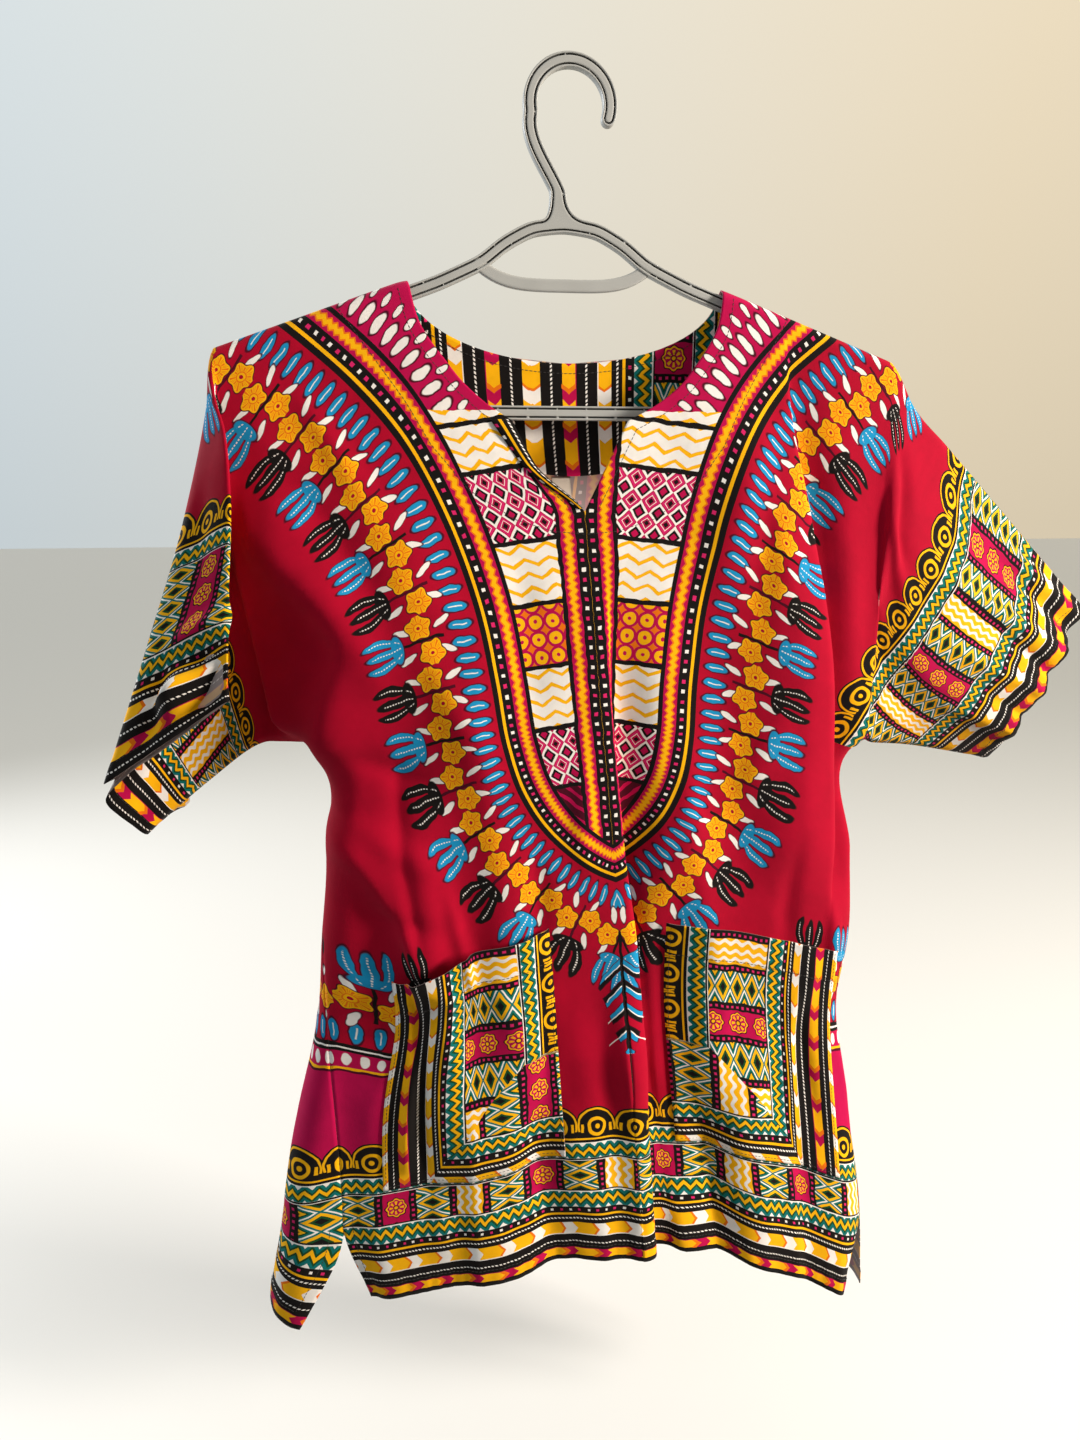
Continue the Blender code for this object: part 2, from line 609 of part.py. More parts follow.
def build_hanger(mat):
    """Hook, yoke, trouser bar and the small accessory bar."""
    cx, cz = HOOK_CENTRE
    turn = np.radians(np.linspace(192, -18, 22))
    loop = np.stack([cx + HOOK_RADIUS * np.cos(turn), cz + HOOK_RADIUS * np.sin(turn)], 1)
    t = np.linspace(0, 1, 9)[:-1, None]
    neck, lean = np.array([0.0, -0.0880]), np.array([-0.0010, -0.0680])
    rise = np.array([loop[0, 0] - 0.0055, -0.0480])
    stem = ((1 - t) ** 3 * neck + 3 * t * (1 - t) ** 2 * lean
            + 3 * t * t * (1 - t) * rise + t**3 * loop[0])
    band("hanger_hook", np.concatenate([stem, loop]), mat)

    half = [(0.0, -0.0932), (0.022, -0.0960), (0.040, -0.1060), (0.054, -0.1180),
            ARM_START, ARM_END]
    yoke = [(-x, z) for x, z in half[::-1]] + half[1:]
    band("hanger_yoke", rounded_path(yoke, 61, 0.012), mat)

    end_x, end_z = ARM_END[0] + 0.0030, ARM_END[1] - 0.0085
    bar = [(-end_x, end_z), (-end_x + 0.001, BAR_HEIGHT), (end_x - 0.001, BAR_HEIGHT),
           (end_x, end_z)]
    band("hanger_bar", rounded_path(bar, 41, 0.02), mat)

    ends = 0.049
    t = np.linspace(-1, 1, 17)
    sling = np.stack([ends * t, -0.1290 - 0.0020 * (1 - t**2)], 1)
    sling[:, 1] += 0.004 * np.clip(np.abs(t) - 0.8, 0, None) / 0.2
    band("hanger_sling", sling, mat, width=0.0080, depth=0.004)


def build():
    for obj in list(bpy.data.objects):
        bpy.data.objects.remove(obj)
    bpy.context.scene.collection.children.link(COLLECTION)
    print_cotton = material("wax_print_cotton", (0.42, 0.004, 0.03), 0.8)
    black_print = material("black_print_cotton", (0.02, 0.014, 0.012), 0.8)
    cream = material("cream_woven_label", (0.75, 0.68, 0.55), 0.7)
    grey = material("grey_plastic", (0.45, 0.45, 0.42), 0.45)
    build_panel("front", -1, print_cotton)
    build_panel("back", 1, print_cotton)
    build_pocket("pocket_left", -1, print_cotton)
    build_pocket("pocket_right", 1, print_cotton)
    build_back_facing(black_print)
    build_slit_facing(black_print)
    build_label(cream)
    build_hanger(grey)


build()
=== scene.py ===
"""Looks of a dashiki shirt on its coat hanger: Blender 4.5, metres, +Z up, in the part's own frame.

The shirt's pieces are fine shells over the part's solids. A cut point is (across, drop): metres
from the centre line and below the shoulder line, on the flat cloth.
"""

from functools import partialmethod

import bmesh
import bpy
import numpy as np
from mathutils import Matrix, Vector


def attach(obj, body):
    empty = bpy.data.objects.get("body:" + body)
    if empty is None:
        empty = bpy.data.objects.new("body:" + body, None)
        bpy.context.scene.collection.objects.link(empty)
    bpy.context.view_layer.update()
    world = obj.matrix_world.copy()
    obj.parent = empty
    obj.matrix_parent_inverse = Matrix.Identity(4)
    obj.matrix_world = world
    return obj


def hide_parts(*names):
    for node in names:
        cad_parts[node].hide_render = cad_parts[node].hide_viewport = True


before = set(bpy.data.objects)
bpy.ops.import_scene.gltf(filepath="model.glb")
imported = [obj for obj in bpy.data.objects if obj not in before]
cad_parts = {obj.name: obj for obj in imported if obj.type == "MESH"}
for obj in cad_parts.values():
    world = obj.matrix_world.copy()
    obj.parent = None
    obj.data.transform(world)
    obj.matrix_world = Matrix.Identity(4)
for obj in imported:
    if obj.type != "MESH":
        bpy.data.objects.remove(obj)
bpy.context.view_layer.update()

# ==== front and back =========================================================================
# Two panels of wax-printed cotton of about 130 g/m2, each cut as one flat T: a body with half a
# sleeve at each side. They are sewn together along the sides and under the sleeves, and hang
# from the hanger's arms, so every level sags to both sides.
HALF_CHEST = 0.235  # centre line to side seam, and to the line where the sleeve starts
HEM_DROP = 0.705  # shoulder line to hem
ARMPIT_DROP = 0.280
SLEEVE = 0.280  # length beyond the side seam's line
SLIT_DROP = 0.645  # the side seams stop here, and the side slits start
NECK_HALF = 0.105
BACK_NECK_DROP = 0.048
SLIT_TOP_DROP = 0.088  # the round of the front neck ends here, and its slit starts
SLIT_FOOT_DROP = 0.147
WALL = 0.0007  # thickness of the cloth
SEAM = 0.0003  # gap between neighbours
EDGE_TURN = 0.012  # depth of the turned hems
SHOULDER_ROUND = 0.0075  # the panels part over this drop from the shoulder line
FOLD_ROUND = 0.0035  # softness of a pleat's two turns
FOLD_GAP = 0.010  # how far apart a pleat's layers lie
FOLD_FULL = 0.006  # hidden width from which a pleat has its whole gap
FOLD_RETURN = (0.008, 0.030)  # past a pleat the cloth comes forward again: from here, over this run
EDGE_ROUND = 0.004  # how far each layer stands off a sleeve's seams
PINCH = dict(across=-0.200, drop=0.452, inwards=0.024, down=0.020, wide=0.055, high=0.085)
TUCK = 0.032  # how far back the cloth outside the left armpit's fold goes at most
LAPEL = dict(open=0.0145, wide=0.09, fade=0.032)  # the left edge of the neck's slit, drawn open
FLARE = dict(inwards=0.022, high=0.08, wide=0.03)  # the front's corners beside the side slits
BACK_SWING = (0.42, 0.10)  # radians that the back's left and right corners swing below the slits
SWING_REACH = (0.11, 0.05)  # the swing fades over this width inwards, and this height up
BACK_HOLLOW = 0.08  # share by which the back's levels are narrower between neck and armpit
NECKLINE = np.array([
    # drop, half of the front neck's opening
    (0.000, 0.1050),
    (0.030, 0.0975),
    (0.050, 0.0840),
    (0.066, 0.0700),
    (0.080, 0.0500),
    (0.088, 0.0340),
])

# How the body hangs, one row for each level of the cloth: drop below the shoulder line; height
# and centre of the front's centre line; left and right outline; depth: front or back from Y = 0;
# crown: how much further the middle stands out; sag and start: how steeply the level falls
# towards each side, and how far from the centre that starts.
COLUMNS = "drop height centre left right depth crown sag_l start_l sag_r start_r".split()
BODY = np.array([
    (0.000, -0.1305, 0.0020, -0.420, 0.420, 0.0075, 0.000, 0.362, 0.105, 0.362, 0.105),
    (0.060, -0.1900, 0.0040, -0.420, 0.420, 0.0110, 0.003, 0.362, 0.104, 0.362, 0.105),
    (0.147, -0.2770, 0.0090, -0.380, 0.400, 0.0160, 0.008, 0.350, 0.100, 0.362, 0.100),
    (0.220, -0.3480, 0.0140, -0.270, 0.300, 0.0190, 0.012, 0.300, 0.090, 0.360, 0.100),
    (0.280, -0.4070, 0.0185, -0.177, 0.214, 0.0200, 0.014, 0.250, 0.075, 0.360, 0.100),
    (0.360, -0.4850, 0.0255, -0.170, 0.216, 0.0210, 0.015, 0.200, 0.050, 0.360, 0.100),
    (0.430, -0.5520, 0.0310, -0.176, 0.218, 0.0210, 0.014, 0.150, 0.020, 0.360, 0.100),
    (0.485, -0.6060, 0.0350, -0.181, 0.211, 0.0200, 0.012, 0.140, 0.000, 0.380, 0.100),
    (0.560, -0.6760, 0.0390, -0.199, 0.222, 0.0230, 0.014, 0.150, -0.020, 0.420, 0.100),
    (0.640, -0.7520, 0.0440, -0.217, 0.238, 0.0260, 0.016, 0.160, -0.030, 0.500, 0.100),
    (0.705, -0.8155, 0.0480, -0.228, 0.243, 0.0280, 0.018, 0.170, -0.040, 0.600, 0.100),
    (0.800, -0.9080, 0.0540, -0.234, 0.247, 0.0290, 0.018, 0.170, -0.040, 0.600, 0.100),
])
EASE = np.array([
    # drop, and the share of the cut that small folds leave at the left and at the right
    (0.000, 1.000, 1.000),
    (0.147, 0.990, 1.000),
    (0.280, 0.940, 1.000),
    (0.360, 0.920, 0.970),
    (0.430, 0.910, 0.930),
    (0.485, 0.905, 0.910),
    (0.600, 0.910, 0.940),
    (0.705, 0.940, 0.980),
])
CENTRE_PLEAT = np.array([
    # drop, past the inner edge, hidden width
    (0.000, 0.012, 0.000),
    (0.170, 0.012, 0.000),
    (0.280, 0.010, 0.005),
    (0.450, 0.012, 0.009),
    (0.705, 0.014, 0.009),
])
ARMHOLE_PLEAT = np.array([
    # drop, across, hidden width
    (0.000, 0.150, 0.000),
    (0.060, 0.154, 0.003),
    (0.150, 0.166, 0.008),
    (0.280, 0.184, 0.010),
    (0.360, 0.192, 0.006),
    (0.430, 0.196, 0.000),
    (0.705, 0.196, 0.000),
])
# Broad soft folds. across at top and foot; drop of top and foot; half width; height (below 0: a
# trough)
FRONT_FOLDS = [
    (-0.085, -0.095, 0.34, 0.60, 0.020, 0.006),
    (-0.150, -0.145, 0.32, 0.62, 0.020, 0.007),
    (-0.110, -0.100, 0.52, 0.78, 0.022, 0.006),
    (-0.035, -0.028, 0.48, 0.78, 0.018, 0.006),
    (0.000, 0.002, 0.46, 0.80, 0.014, 0.014),
    (0.050, 0.050, 0.40, 0.80, 0.018, -0.009),
    (0.105, 0.115, 0.50, 0.78, 0.022, 0.006),
    (0.160, 0.165, 0.46, 0.78, 0.018, -0.005),
    (0.085, 0.110, 0.16, 0.40, 0.026, -0.004),
    (-0.130, -0.100, 0.10, 0.33, 0.026, 0.004),
]
BACK_FOLDS = [
    (-0.130, -0.140, 0.30, 0.80, 0.026, 0.007),
    (-0.050, -0.040, 0.20, 0.80, 0.024, 0.007),
    (0.045, 0.060, 0.34, 0.80, 0.026, 0.009),
    (0.135, 0.150, 0.28, 0.80, 0.024, 0.007),
    (-0.092, -0.088, 0.36, 0.80, 0.020, -0.005),
    (0.000, 0.010, 0.40, 0.80, 0.020, -0.006),
    (0.092, 0.105, 0.42, 0.80, 0.020, -0.005),
]
# Sleeve sections from the sleeve's start to the cuff. along: share of the sleeve's length; the
# places of the top edge, the front ridge, the turn behind it, the under seam and the middle of
# the back; share_r, share_t: how far round the front's cloth the ridge and the turn are.
SLEEVE_COLUMNS = "along top ridge turn under back share_r share_t half".split()
LEFT_SLEEVE = [
    (0.12, (-.232, -.003, -.212), (-.2165, -.029, -.224), (-.230, .007, -.277),
     (-.196, .014, -.432), (-.228, .030, -.320), 0.13, 0.34, 0.273),
    (0.34, (-.249, -.008, -.279), (-.213, -.040, -.262), (-.236, .010, -.323),
     (-.214, .019, -.434), (-.236, .044, -.350), 0.21, 0.48, 0.262),
    (0.67, (-.276, -.010, -.357), (-.215, -.046, -.330), (-.278, .008, -.393),
     (-.250, .020, -.459), (-.262, .062, -.402), 0.31, 0.64, 0.244),
    (1.00, (-.311, -.011, -.452), (-.217, -.048, -.388), (-.321, .005, -.464),
     (-.294, .018, -.495), (-.272, .072, -.446), 0.42, 0.82, 0.225),
]
RIGHT_SLEEVE = [
    (0.12, (.250, .004, -.203), (.229, -.015, -.274), (.222, -.014, -.342),
     (.228, .008, -.446), (.246, .030, -.322), 0.33, 0.61, 0.273),
    (0.34, (.285, .014, -.232), (.242, -.012, -.298), (.232, -.006, -.352),
     (.243, .022, -.451), (.272, .050, -.340), 0.34, 0.62, 0.262),
    (0.67, (.356, .040, -.286), (.302, .004, -.343), (.280, .006, -.403),
     (.288, .042, -.459), (.335, .088, -.380), 0.36, 0.68, 0.244),
    (1.00, (.438, .066, -.352), (.399, .032, -.394), (.370, .032, -.443),
     (.362, .062, -.476), (.408, .118, -.415), 0.36, 0.74, 0.225),
]
# The main folds, each a crest or trough. Its line from top to foot, as (drop, across); half width
# to its left and right; height (below 0: a trough)
ARMPIT_RIDGE = [(.080, -.245), (.106, -.235), (.134, -.217), (.164, -.197), (.201, -.177),
                (.216, -.174), (.237, -.182), (.249, -.190), (.274, -.202), (.330, -.230)]
FRONT_RIDGES = [
    (ARMPIT_RIDGE, .012, .050, .0070),
    ([(.325, -.216), (.339, -.208), (.380, -.189), (.410, -.178), (.460, -.170)],
     .012, .036, .0085),
    ([(.290, -.150), (.340, -.160), (.403, -.168), (.440, -.172)], .009, .009, -.0036),
    ([(.040, .120), (.108, .129), (.145, .133), (.242, .156), (.332, .160), (.398, .162),
      (.450, .164)], .050, .034, .0105),
    ([(.190, -.080), (.300, -.092), (.420, -.085)], .020, .026, .0040),
    ([(.330, .070), (.430, .085), (.520, .100), (.640, .104)], .020, .016, .0045),
    ([(.540, -.128), (.620, -.130), (.760, -.122)], .014, .020, .0060),
    ([(.560, -.082), (.640, -.076), (.780, -.066)], .014, .014, -.0050),
    ([(.380, .040), (.509, .046), (.592, .044), (.705, .056), (.790, .060)],
     .040, .011, .0095),
    ([(.540, .000), (.660, .002), (.800, .004)], .018, .016, -.0065),
    ([(.560, .074), (.660, .080), (.800, .086)], .012, .018, -.0085),
    ([(.580, .145), (.660, .150), (.780, .156)], .014, .016, .0055),
]
BACK_RIDGES = [
    ([(.060, -.205), (.140, -.180), (.230, -.165), (.300, -.168), (.360, -.176)],
     .026, .036, .0080),
    ([(.060, .205), (.140, .182), (.230, .166), (.300, .170), (.360, .176)],
     .036, .026, .0080),
    ([(.180, -.070), (.300, -.080), (.440, -.074)], .020, .024, .0045),
    ([(.200, .060), (.320, .074), (.460, .070)], .022, .020, .0045),
    ([(.420, -.020), (.560, -.026), (.780, -.022)], .016, .014, -.0055),
    ([(.460, .120), (.600, .124), (.780, .118)], .014, .018, .0060),
    ([(.480, -.130), (.620, -.124), (.780, -.130)], .018, .014, .0060),
]
# Small creases, one line each on the flat cloth. from: across, drop; to: across, drop; half
# width; height (below 0: a trough)
FRONT_CREASES = [
    (-.192, .420, -.168, .520, .006, -.0070),
    (-.172, .485, -.158, .640, .006, -.0070),
    (-.070, .455, -.075, .600, .007, -.0022),
    (.182, .445, .178, .610, .007, -.0034),
    (.098, .475, .100, .620, .008, -.0024),
    (-.200, .035, -.120, .160, .0092, .0032),
    (-.215, .080, -.125, .235, .0115, -.0038),
    (-.225, .130, -.140, .275, .0103, .0035),
    (-.120, .200, -.085, .360, .0115, .0026),
    (-.060, .150, -.050, .330, .0138, -.0022),
    (-.200, .290, -.110, .330, .0080, -.0026),
    (-.215, .330, -.120, .395, .0092, .0029),
    (-.225, .390, -.130, .430, .0069, -.0026),
    (-.228, .440, -.160, .470, .0057, .0022),
    (-.228, .500, -.185, .480, .0057, -.0022),
    (-.130, .380, -.120, .500, .0080, .0032),
    (-.065, .360, -.072, .500, .0092, -.0032),
    (-.180, .360, -.172, .560, .0069, .0029),
    (-.212, .420, -.206, .600, .0057, .0026),
    (-.060, .560, -.050, .690, .0115, .0035),
    (-.020, .300, -.015, .420, .0080, .0026),
    (.028, .330, .030, .480, .0069, -.0029),
    (.070, .280, .060, .420, .0103, .0029),
    (.115, .060, .085, .230, .0126, .0032),
    (.145, .060, .120, .260, .0115, -.0038),
    (.150, .260, .110, .360, .0103, .0026),
    (.165, .340, .160, .480, .0080, -.0026),
    (.205, .380, .196, .500, .0069, .0029),
    (.215, .470, .215, .620, .0069, .0022),
    (.040, .520, .045, .690, .0103, -.0032),
    (.120, .600, .128, .700, .0115, .0029),
    (.080, .610, .078, .700, .0092, -.0022),
    (-.150, .610, -.156, .700, .0103, .0029),
    (-.105, .620, -.100, .705, .0092, -.0022),
]
BACK_CREASES = [
    (-.190, .060, -.110, .240, .0138, .0038),
    (.190, .060, .120, .250, .0138, .0042),
    (-.160, .120, -.090, .330, .0115, -.0032),
    (.150, .140, .080, .360, .0126, -.0035),
    (-.040, .080, -.060, .300, .0161, .0029),
    (.050, .090, .040, .330, .0149, .0029),
    (-.215, .290, -.120, .380, .0103, .0032),
    (.215, .290, .130, .390, .0103, .0032),
    (-.200, .350, -.110, .440, .0092, -.0029),
    (.205, .360, .120, .450, .0092, -.0029),
    (-.222, .480, -.180, .520, .0069, .0022),
    (.222, .470, .170, .500, .0069, .0022),
    (-.020, .380, -.030, .600, .0115, .0029),
    (.080, .440, .085, .690, .0126, .0032),
    (-.170, .520, -.180, .700, .0115, -.0032),
    (-.110, .560, -.112, .705, .0103, .0029),
    (.170, .560, .176, .705, .0115, .0029),
    (.020, .560, .026, .705, .0115, -.0029),
]
SLEEVE_CREASES = {-1: [
    (-.245, .030, -.330, .150, .010, .0036),
    (-.250, .090, -.400, .170, .011, -.0034),
    (-.260, .180, -.390, .140, .011, .0030),
    (-.300, .020, -.420, .040, .011, -.0028),
    (-.425, .015, -.440, .090, .009, .0060),
    (-.446, .030, -.470, .080, .007, -.0070),
    (-.480, .000, -.462, .085, .008, .0070),
    (-.505, .030, -.494, .090, .006, -.0060),
    (-.440, .130, -.500, .155, .008, .0040),
    (-.442, .046, -.520, .050, .010, .0090),
    (-.436, .026, -.520, .024, .007, -.0060),
    (-.455, .078, -.520, .074, .007, -.0050),
    (-.400, .180, -.560, .190, .009, .0032),
    (-.420, .150, -.560, .155, .007, -.0026),
], 1: [
    (.245, .040, .350, .120, .013, -.0040),
    (.250, .100, .400, .150, .013, .0034),
    (.250, .170, .360, .200, .010, -.0030),
    (.300, .230, .420, .215, .009, .0024),
    (.350, .018, .620, .022, .011, .0046),
    (.400, .046, .620, .050, .009, -.0044),
    (.360, .074, .620, .078, .010, .0046),
    (.420, .101, .620, .105, .008, -.0040),
    (.370, .128, .620, .133, .010, .0044),
    (.430, .158, .620, .160, .008, -.0040),
    (.400, .190, .620, .190, .009, .0034),
]}


def softly(t, r):
    """A ramp that is 0 before t = 0 and t after it, with a corner of softness r."""
    return (t + np.sqrt(t * t + r * r)) / 2


def rise(t, r):
    """The slope of softly(): 0 before t = 0 and 1 after it."""
    return (1 + t / np.sqrt(t * t + r * r)) / 2


def smooth(t):
    """0 to 1 and level at both ends, for t from 0 to 1."""
    t = np.clip(t, 0, 1)
    return t * t * (3 - 2 * t)


def through(x, xs, ys):
    """A smooth line through the points (xs, ys): cubics whose slopes come from the neighbours."""
    x, xs, ys = np.asarray(x, float), np.asarray(xs, float), np.asarray(ys, float)
    slopes = np.gradient(ys, xs, axis=0)
    i = np.clip(np.searchsorted(xs, x) - 1, 0, len(xs) - 2)
    width = xs[i + 1] - xs[i]
    t = np.clip((x - xs[i]) / width, 0, 1)
    t, width = (v.reshape(v.shape + (1,) * (ys.ndim - 1)) for v in (t, width))
    return (ys[i] * (1 + 2 * t) * (1 - t) ** 2 + ys[i + 1] * (3 - 2 * t) * t**2
            + width * slopes[i] * t * (1 - t) ** 2 - width * slopes[i + 1] * t**2 * (1 - t))


def read_off(table, drop, column=1):
    """A column of a table at this drop; the table's first column is the drop."""
    return through(drop, table[:, 0], table[:, column])


def level(column, drop):
    """A column of BODY at this drop."""
    return read_off(BODY, drop, COLUMNS.index(column))


def front_neck(drop):
    """Half the front neck's opening: a scoop, then a slit that closes at its foot."""
    slit = NECKLINE[-1, 1] * (SLIT_FOOT_DROP - drop) / (SLIT_FOOT_DROP - SLIT_TOP_DROP)
    return np.where(drop < SLIT_TOP_DROP, read_off(NECKLINE, drop), np.clip(slit, 0, None))


def back_neck(drop):
    """Half the back neck's opening: half an ellipse."""
    return NECK_HALF * np.sqrt(np.clip(1 - (drop / BACK_NECK_DROP) ** 2, 0, 1))


def pleated(across, line, hidden):
    """Where cloth lies once it turns back under itself at line, and how far behind it lies."""
    t = across - line
    folded = across - 2 * (softly(t, FOLD_ROUND) - softly(t - hidden, FOLD_ROUND))
    gap = FOLD_GAP * smooth(hidden / FOLD_FULL)
    back_again = 1 - smooth((t - hidden - FOLD_RETURN[0]) / FOLD_RETURN[1])
    return folded, back_again * gap / 2 * (rise(t, FOLD_ROUND) + rise(t - hidden, FOLD_ROUND))


def centre_pleat(drop):
    """Across and hidden width of the pleat beside the centre front."""
    inner = np.where(drop < SLIT_FOOT_DROP, front_neck(drop), 0)
    return inner + read_off(CENTRE_PLEAT, drop), np.clip(read_off(CENTRE_PLEAT, drop, 2), 0, None)


def armhole_pleat(drop):
    """Across and hidden width of the pleat where the right sleeve leaves the body."""
    return read_off(ARMHOLE_PLEAT, drop), np.clip(read_off(ARMHOLE_PLEAT, drop, 2), 0, None)


def soft_folds(folds, across, drop):
    """The sum of the broad folds' heights: bell curves across, faded at both ends."""
    total = np.zeros(np.broadcast(across, drop).shape)
    for top, foot, start, end, width, height in folds:
        t = (drop - start) / (end - start)
        fade = smooth(3 * np.minimum(t, 1.15 - t))
        total = total + height * fade * np.exp(-((across - top - (foot - top) * t) / width) ** 2)
    return total


def creased(creases, across, drop):
    """The sum of the small creases' heights: bell curves round lines that fade at both ends.

    Each line bows a little, by 5 % of its length, and its crease widens along it.
    """
    total = np.zeros(np.broadcast(across, drop).shape)
    for a0, d0, a1, d1, width, height in creases:
        length = np.hypot(a1 - a0, d1 - d0)
        t = ((across - a0) * (a1 - a0) + (drop - d0) * (d1 - d0)) / length**2
        off = ((across - a0) * (d1 - d0) - (drop - d0) * (a1 - a0)) / length
        off = off + 0.05 * length * np.sin(3.0 * t + 40 * a0)
        wide = width * (0.7 + 0.6 * np.clip(t, 0, 1))
        fade = smooth(2.2 * t) * smooth(2.2 * (1 - t))
        total = total + height * fade * np.exp(-(off / wide) ** 2)
    return total


def ridged(ridges, across, drop):
    """The sum of the main folds' heights: crests over lines down the cloth, faded at both ends."""
    total = np.zeros(np.broadcast(across, drop).shape)
    for line, left, right, height in ridges:
        drops, places = np.array(line).T
        middle = through(drop, drops, places)
        lean = (through(drop + 0.002, drops, places) - middle) / 0.002
        off = (across - middle) / np.sqrt(1 + lean * lean)
        t = (drop - drops[0]) / (drops[-1] - drops[0])
        fade = smooth(4 * t) * smooth(4 * (1 - t))
        away = np.abs(off / np.where(off < 0, left, right))
        total = total + height * fade * np.exp(-away ** 1.6)
    return total


def sagging(side, drop):
    """How steeply this level falls towards a side, and from where."""
    left, right = (np.stack([level(k + s, drop) for k in ("sag_", "start_")]) for s in "lr")
    return np.where(side < 0, left, right)


def sag(x, drop):
    """How far a level of the cloth has dropped at this x."""
    slope, start = sagging(x, drop)
    soft = 0.004 + 0.06 * drop
    return slope * (softly(np.abs(x) - start, soft) - softly(-start, soft))


def foreshortened(arc, drop):
    """Level width of cloth that slopes: it covers less ground than its own width."""
    slope, start = sagging(arc, drop)
    start = np.maximum(start, 0)
    less = 1 - 1 / np.sqrt(1 + slope * slope)
    return arc - np.sign(arc) * less * (softly(np.abs(arc) - start, 0.01) - softly(-start, 0.01))


def lie(arc, drop, centre, face):
    """A place on the tube that the body makes, at this arc length from centre on one face.

    Each level is a flat tube: straight front and back, joined by half rounds at the outline.
    """
    depth = level("depth", drop)
    side = np.where(arc < 0, -1.0, 1.0)
    reach = np.where(arc < 0, centre - level("left", drop), level("right", drop) - centre) - depth
    turn = np.clip(np.abs(arc) - reach, 0, np.pi * depth)
    beyond = np.clip(np.abs(arc) - reach - np.pi * depth, 0, None)
    x = centre + side * (np.clip(np.abs(arc), None, reach) + depth * np.sin(turn / depth) - beyond)
    shoulder = np.sqrt(1 - (1 - np.clip(drop / SHOULDER_ROUND, 0, 1)) ** 2)
    return x, face * depth * np.cos(turn / depth) * shoulder


def front_arc(across, drop):
    """Width of the front's cloth from the centre line as it lies, and how far back it lies."""
    arc, behind = pleated(across, *centre_pleat(drop))
    second, further = pleated(across, *armhole_pleat(drop))
    ease = np.where(across < 0, read_off(EASE, drop), read_off(EASE, drop, 2))
    return foreshortened((arc + second - across) * ease, drop), behind + further


def drawn_in(across, drop):
    """Where cut points go as the left pocket's outer top corner is drawn in and down."""
    t = across - PINCH["across"]
    near = np.exp(-((drop - PINCH["drop"]) / PINCH["high"]) ** 2)
    near = near * np.where(t < 0, smooth(1 + t / (HALF_CHEST + PINCH["across"])),
                           np.exp(-(t / PINCH["wide"]) ** 2))
    return across + PINCH["inwards"] * near, drop + PINCH["down"] * near


def crown(x, drop):
    """How far the middle of a level stands out."""
    left, right = level("left", drop), level("right", drop)
    return level("crown", drop) * np.clip(1 - ((2 * x - left - right) / (right - left)) ** 2, 0, 1)


def drape_front(across, drop):
    """Front: cut point to place.

    Pleats and sag put the cut on its level. The middle and the broad folds stand out, the cloth
    outside the left armpit's fold lies back, and the edges at the slits are drawn aside.
    """
    across, drop = np.broadcast_arrays(np.asarray(across, float), np.asarray(drop, float))
    across, drop = drawn_in(across, drop)
    arc, behind = front_arc(across, drop)
    x, y = lie(arc, drop, level("centre", drop), -1)
    facing = np.clip(-y / level("depth", drop), 0, 1)
    free = smooth((HALF_CHEST - np.abs(across)) / 0.03)
    y = y + facing * (behind - free * (crown(x, drop) + soft_folds(FRONT_FOLDS, across, drop)))
    outside = softly((through(drop, *np.array(ARMPIT_RIDGE).T) - across) * 0.8, 0.005)
    tucked = TUCK * (1 - np.exp(-0.62 * outside / TUCK))
    y = y + facing * tucked * smooth((drop - 0.075) / 0.05) * smooth((0.33 - drop) / 0.06)
    lapel = (across < 0) * smooth(1 + across / LAPEL["wide"])
    lapel = lapel * smooth((SLIT_FOOT_DROP - drop) / LAPEL["fade"])
    x = x - LAPEL["open"] * lapel * smooth(drop / 0.05)
    flare = smooth((drop - SLIT_DROP) / FLARE["high"])
    flare = flare * np.exp((np.abs(across) - HALF_CHEST) / FLARE["wide"])
    flared = x - np.sign(across) * FLARE["inwards"] * flare
    return np.stack([flared, y, level("height", drop) - sag(x, drop)], -1)


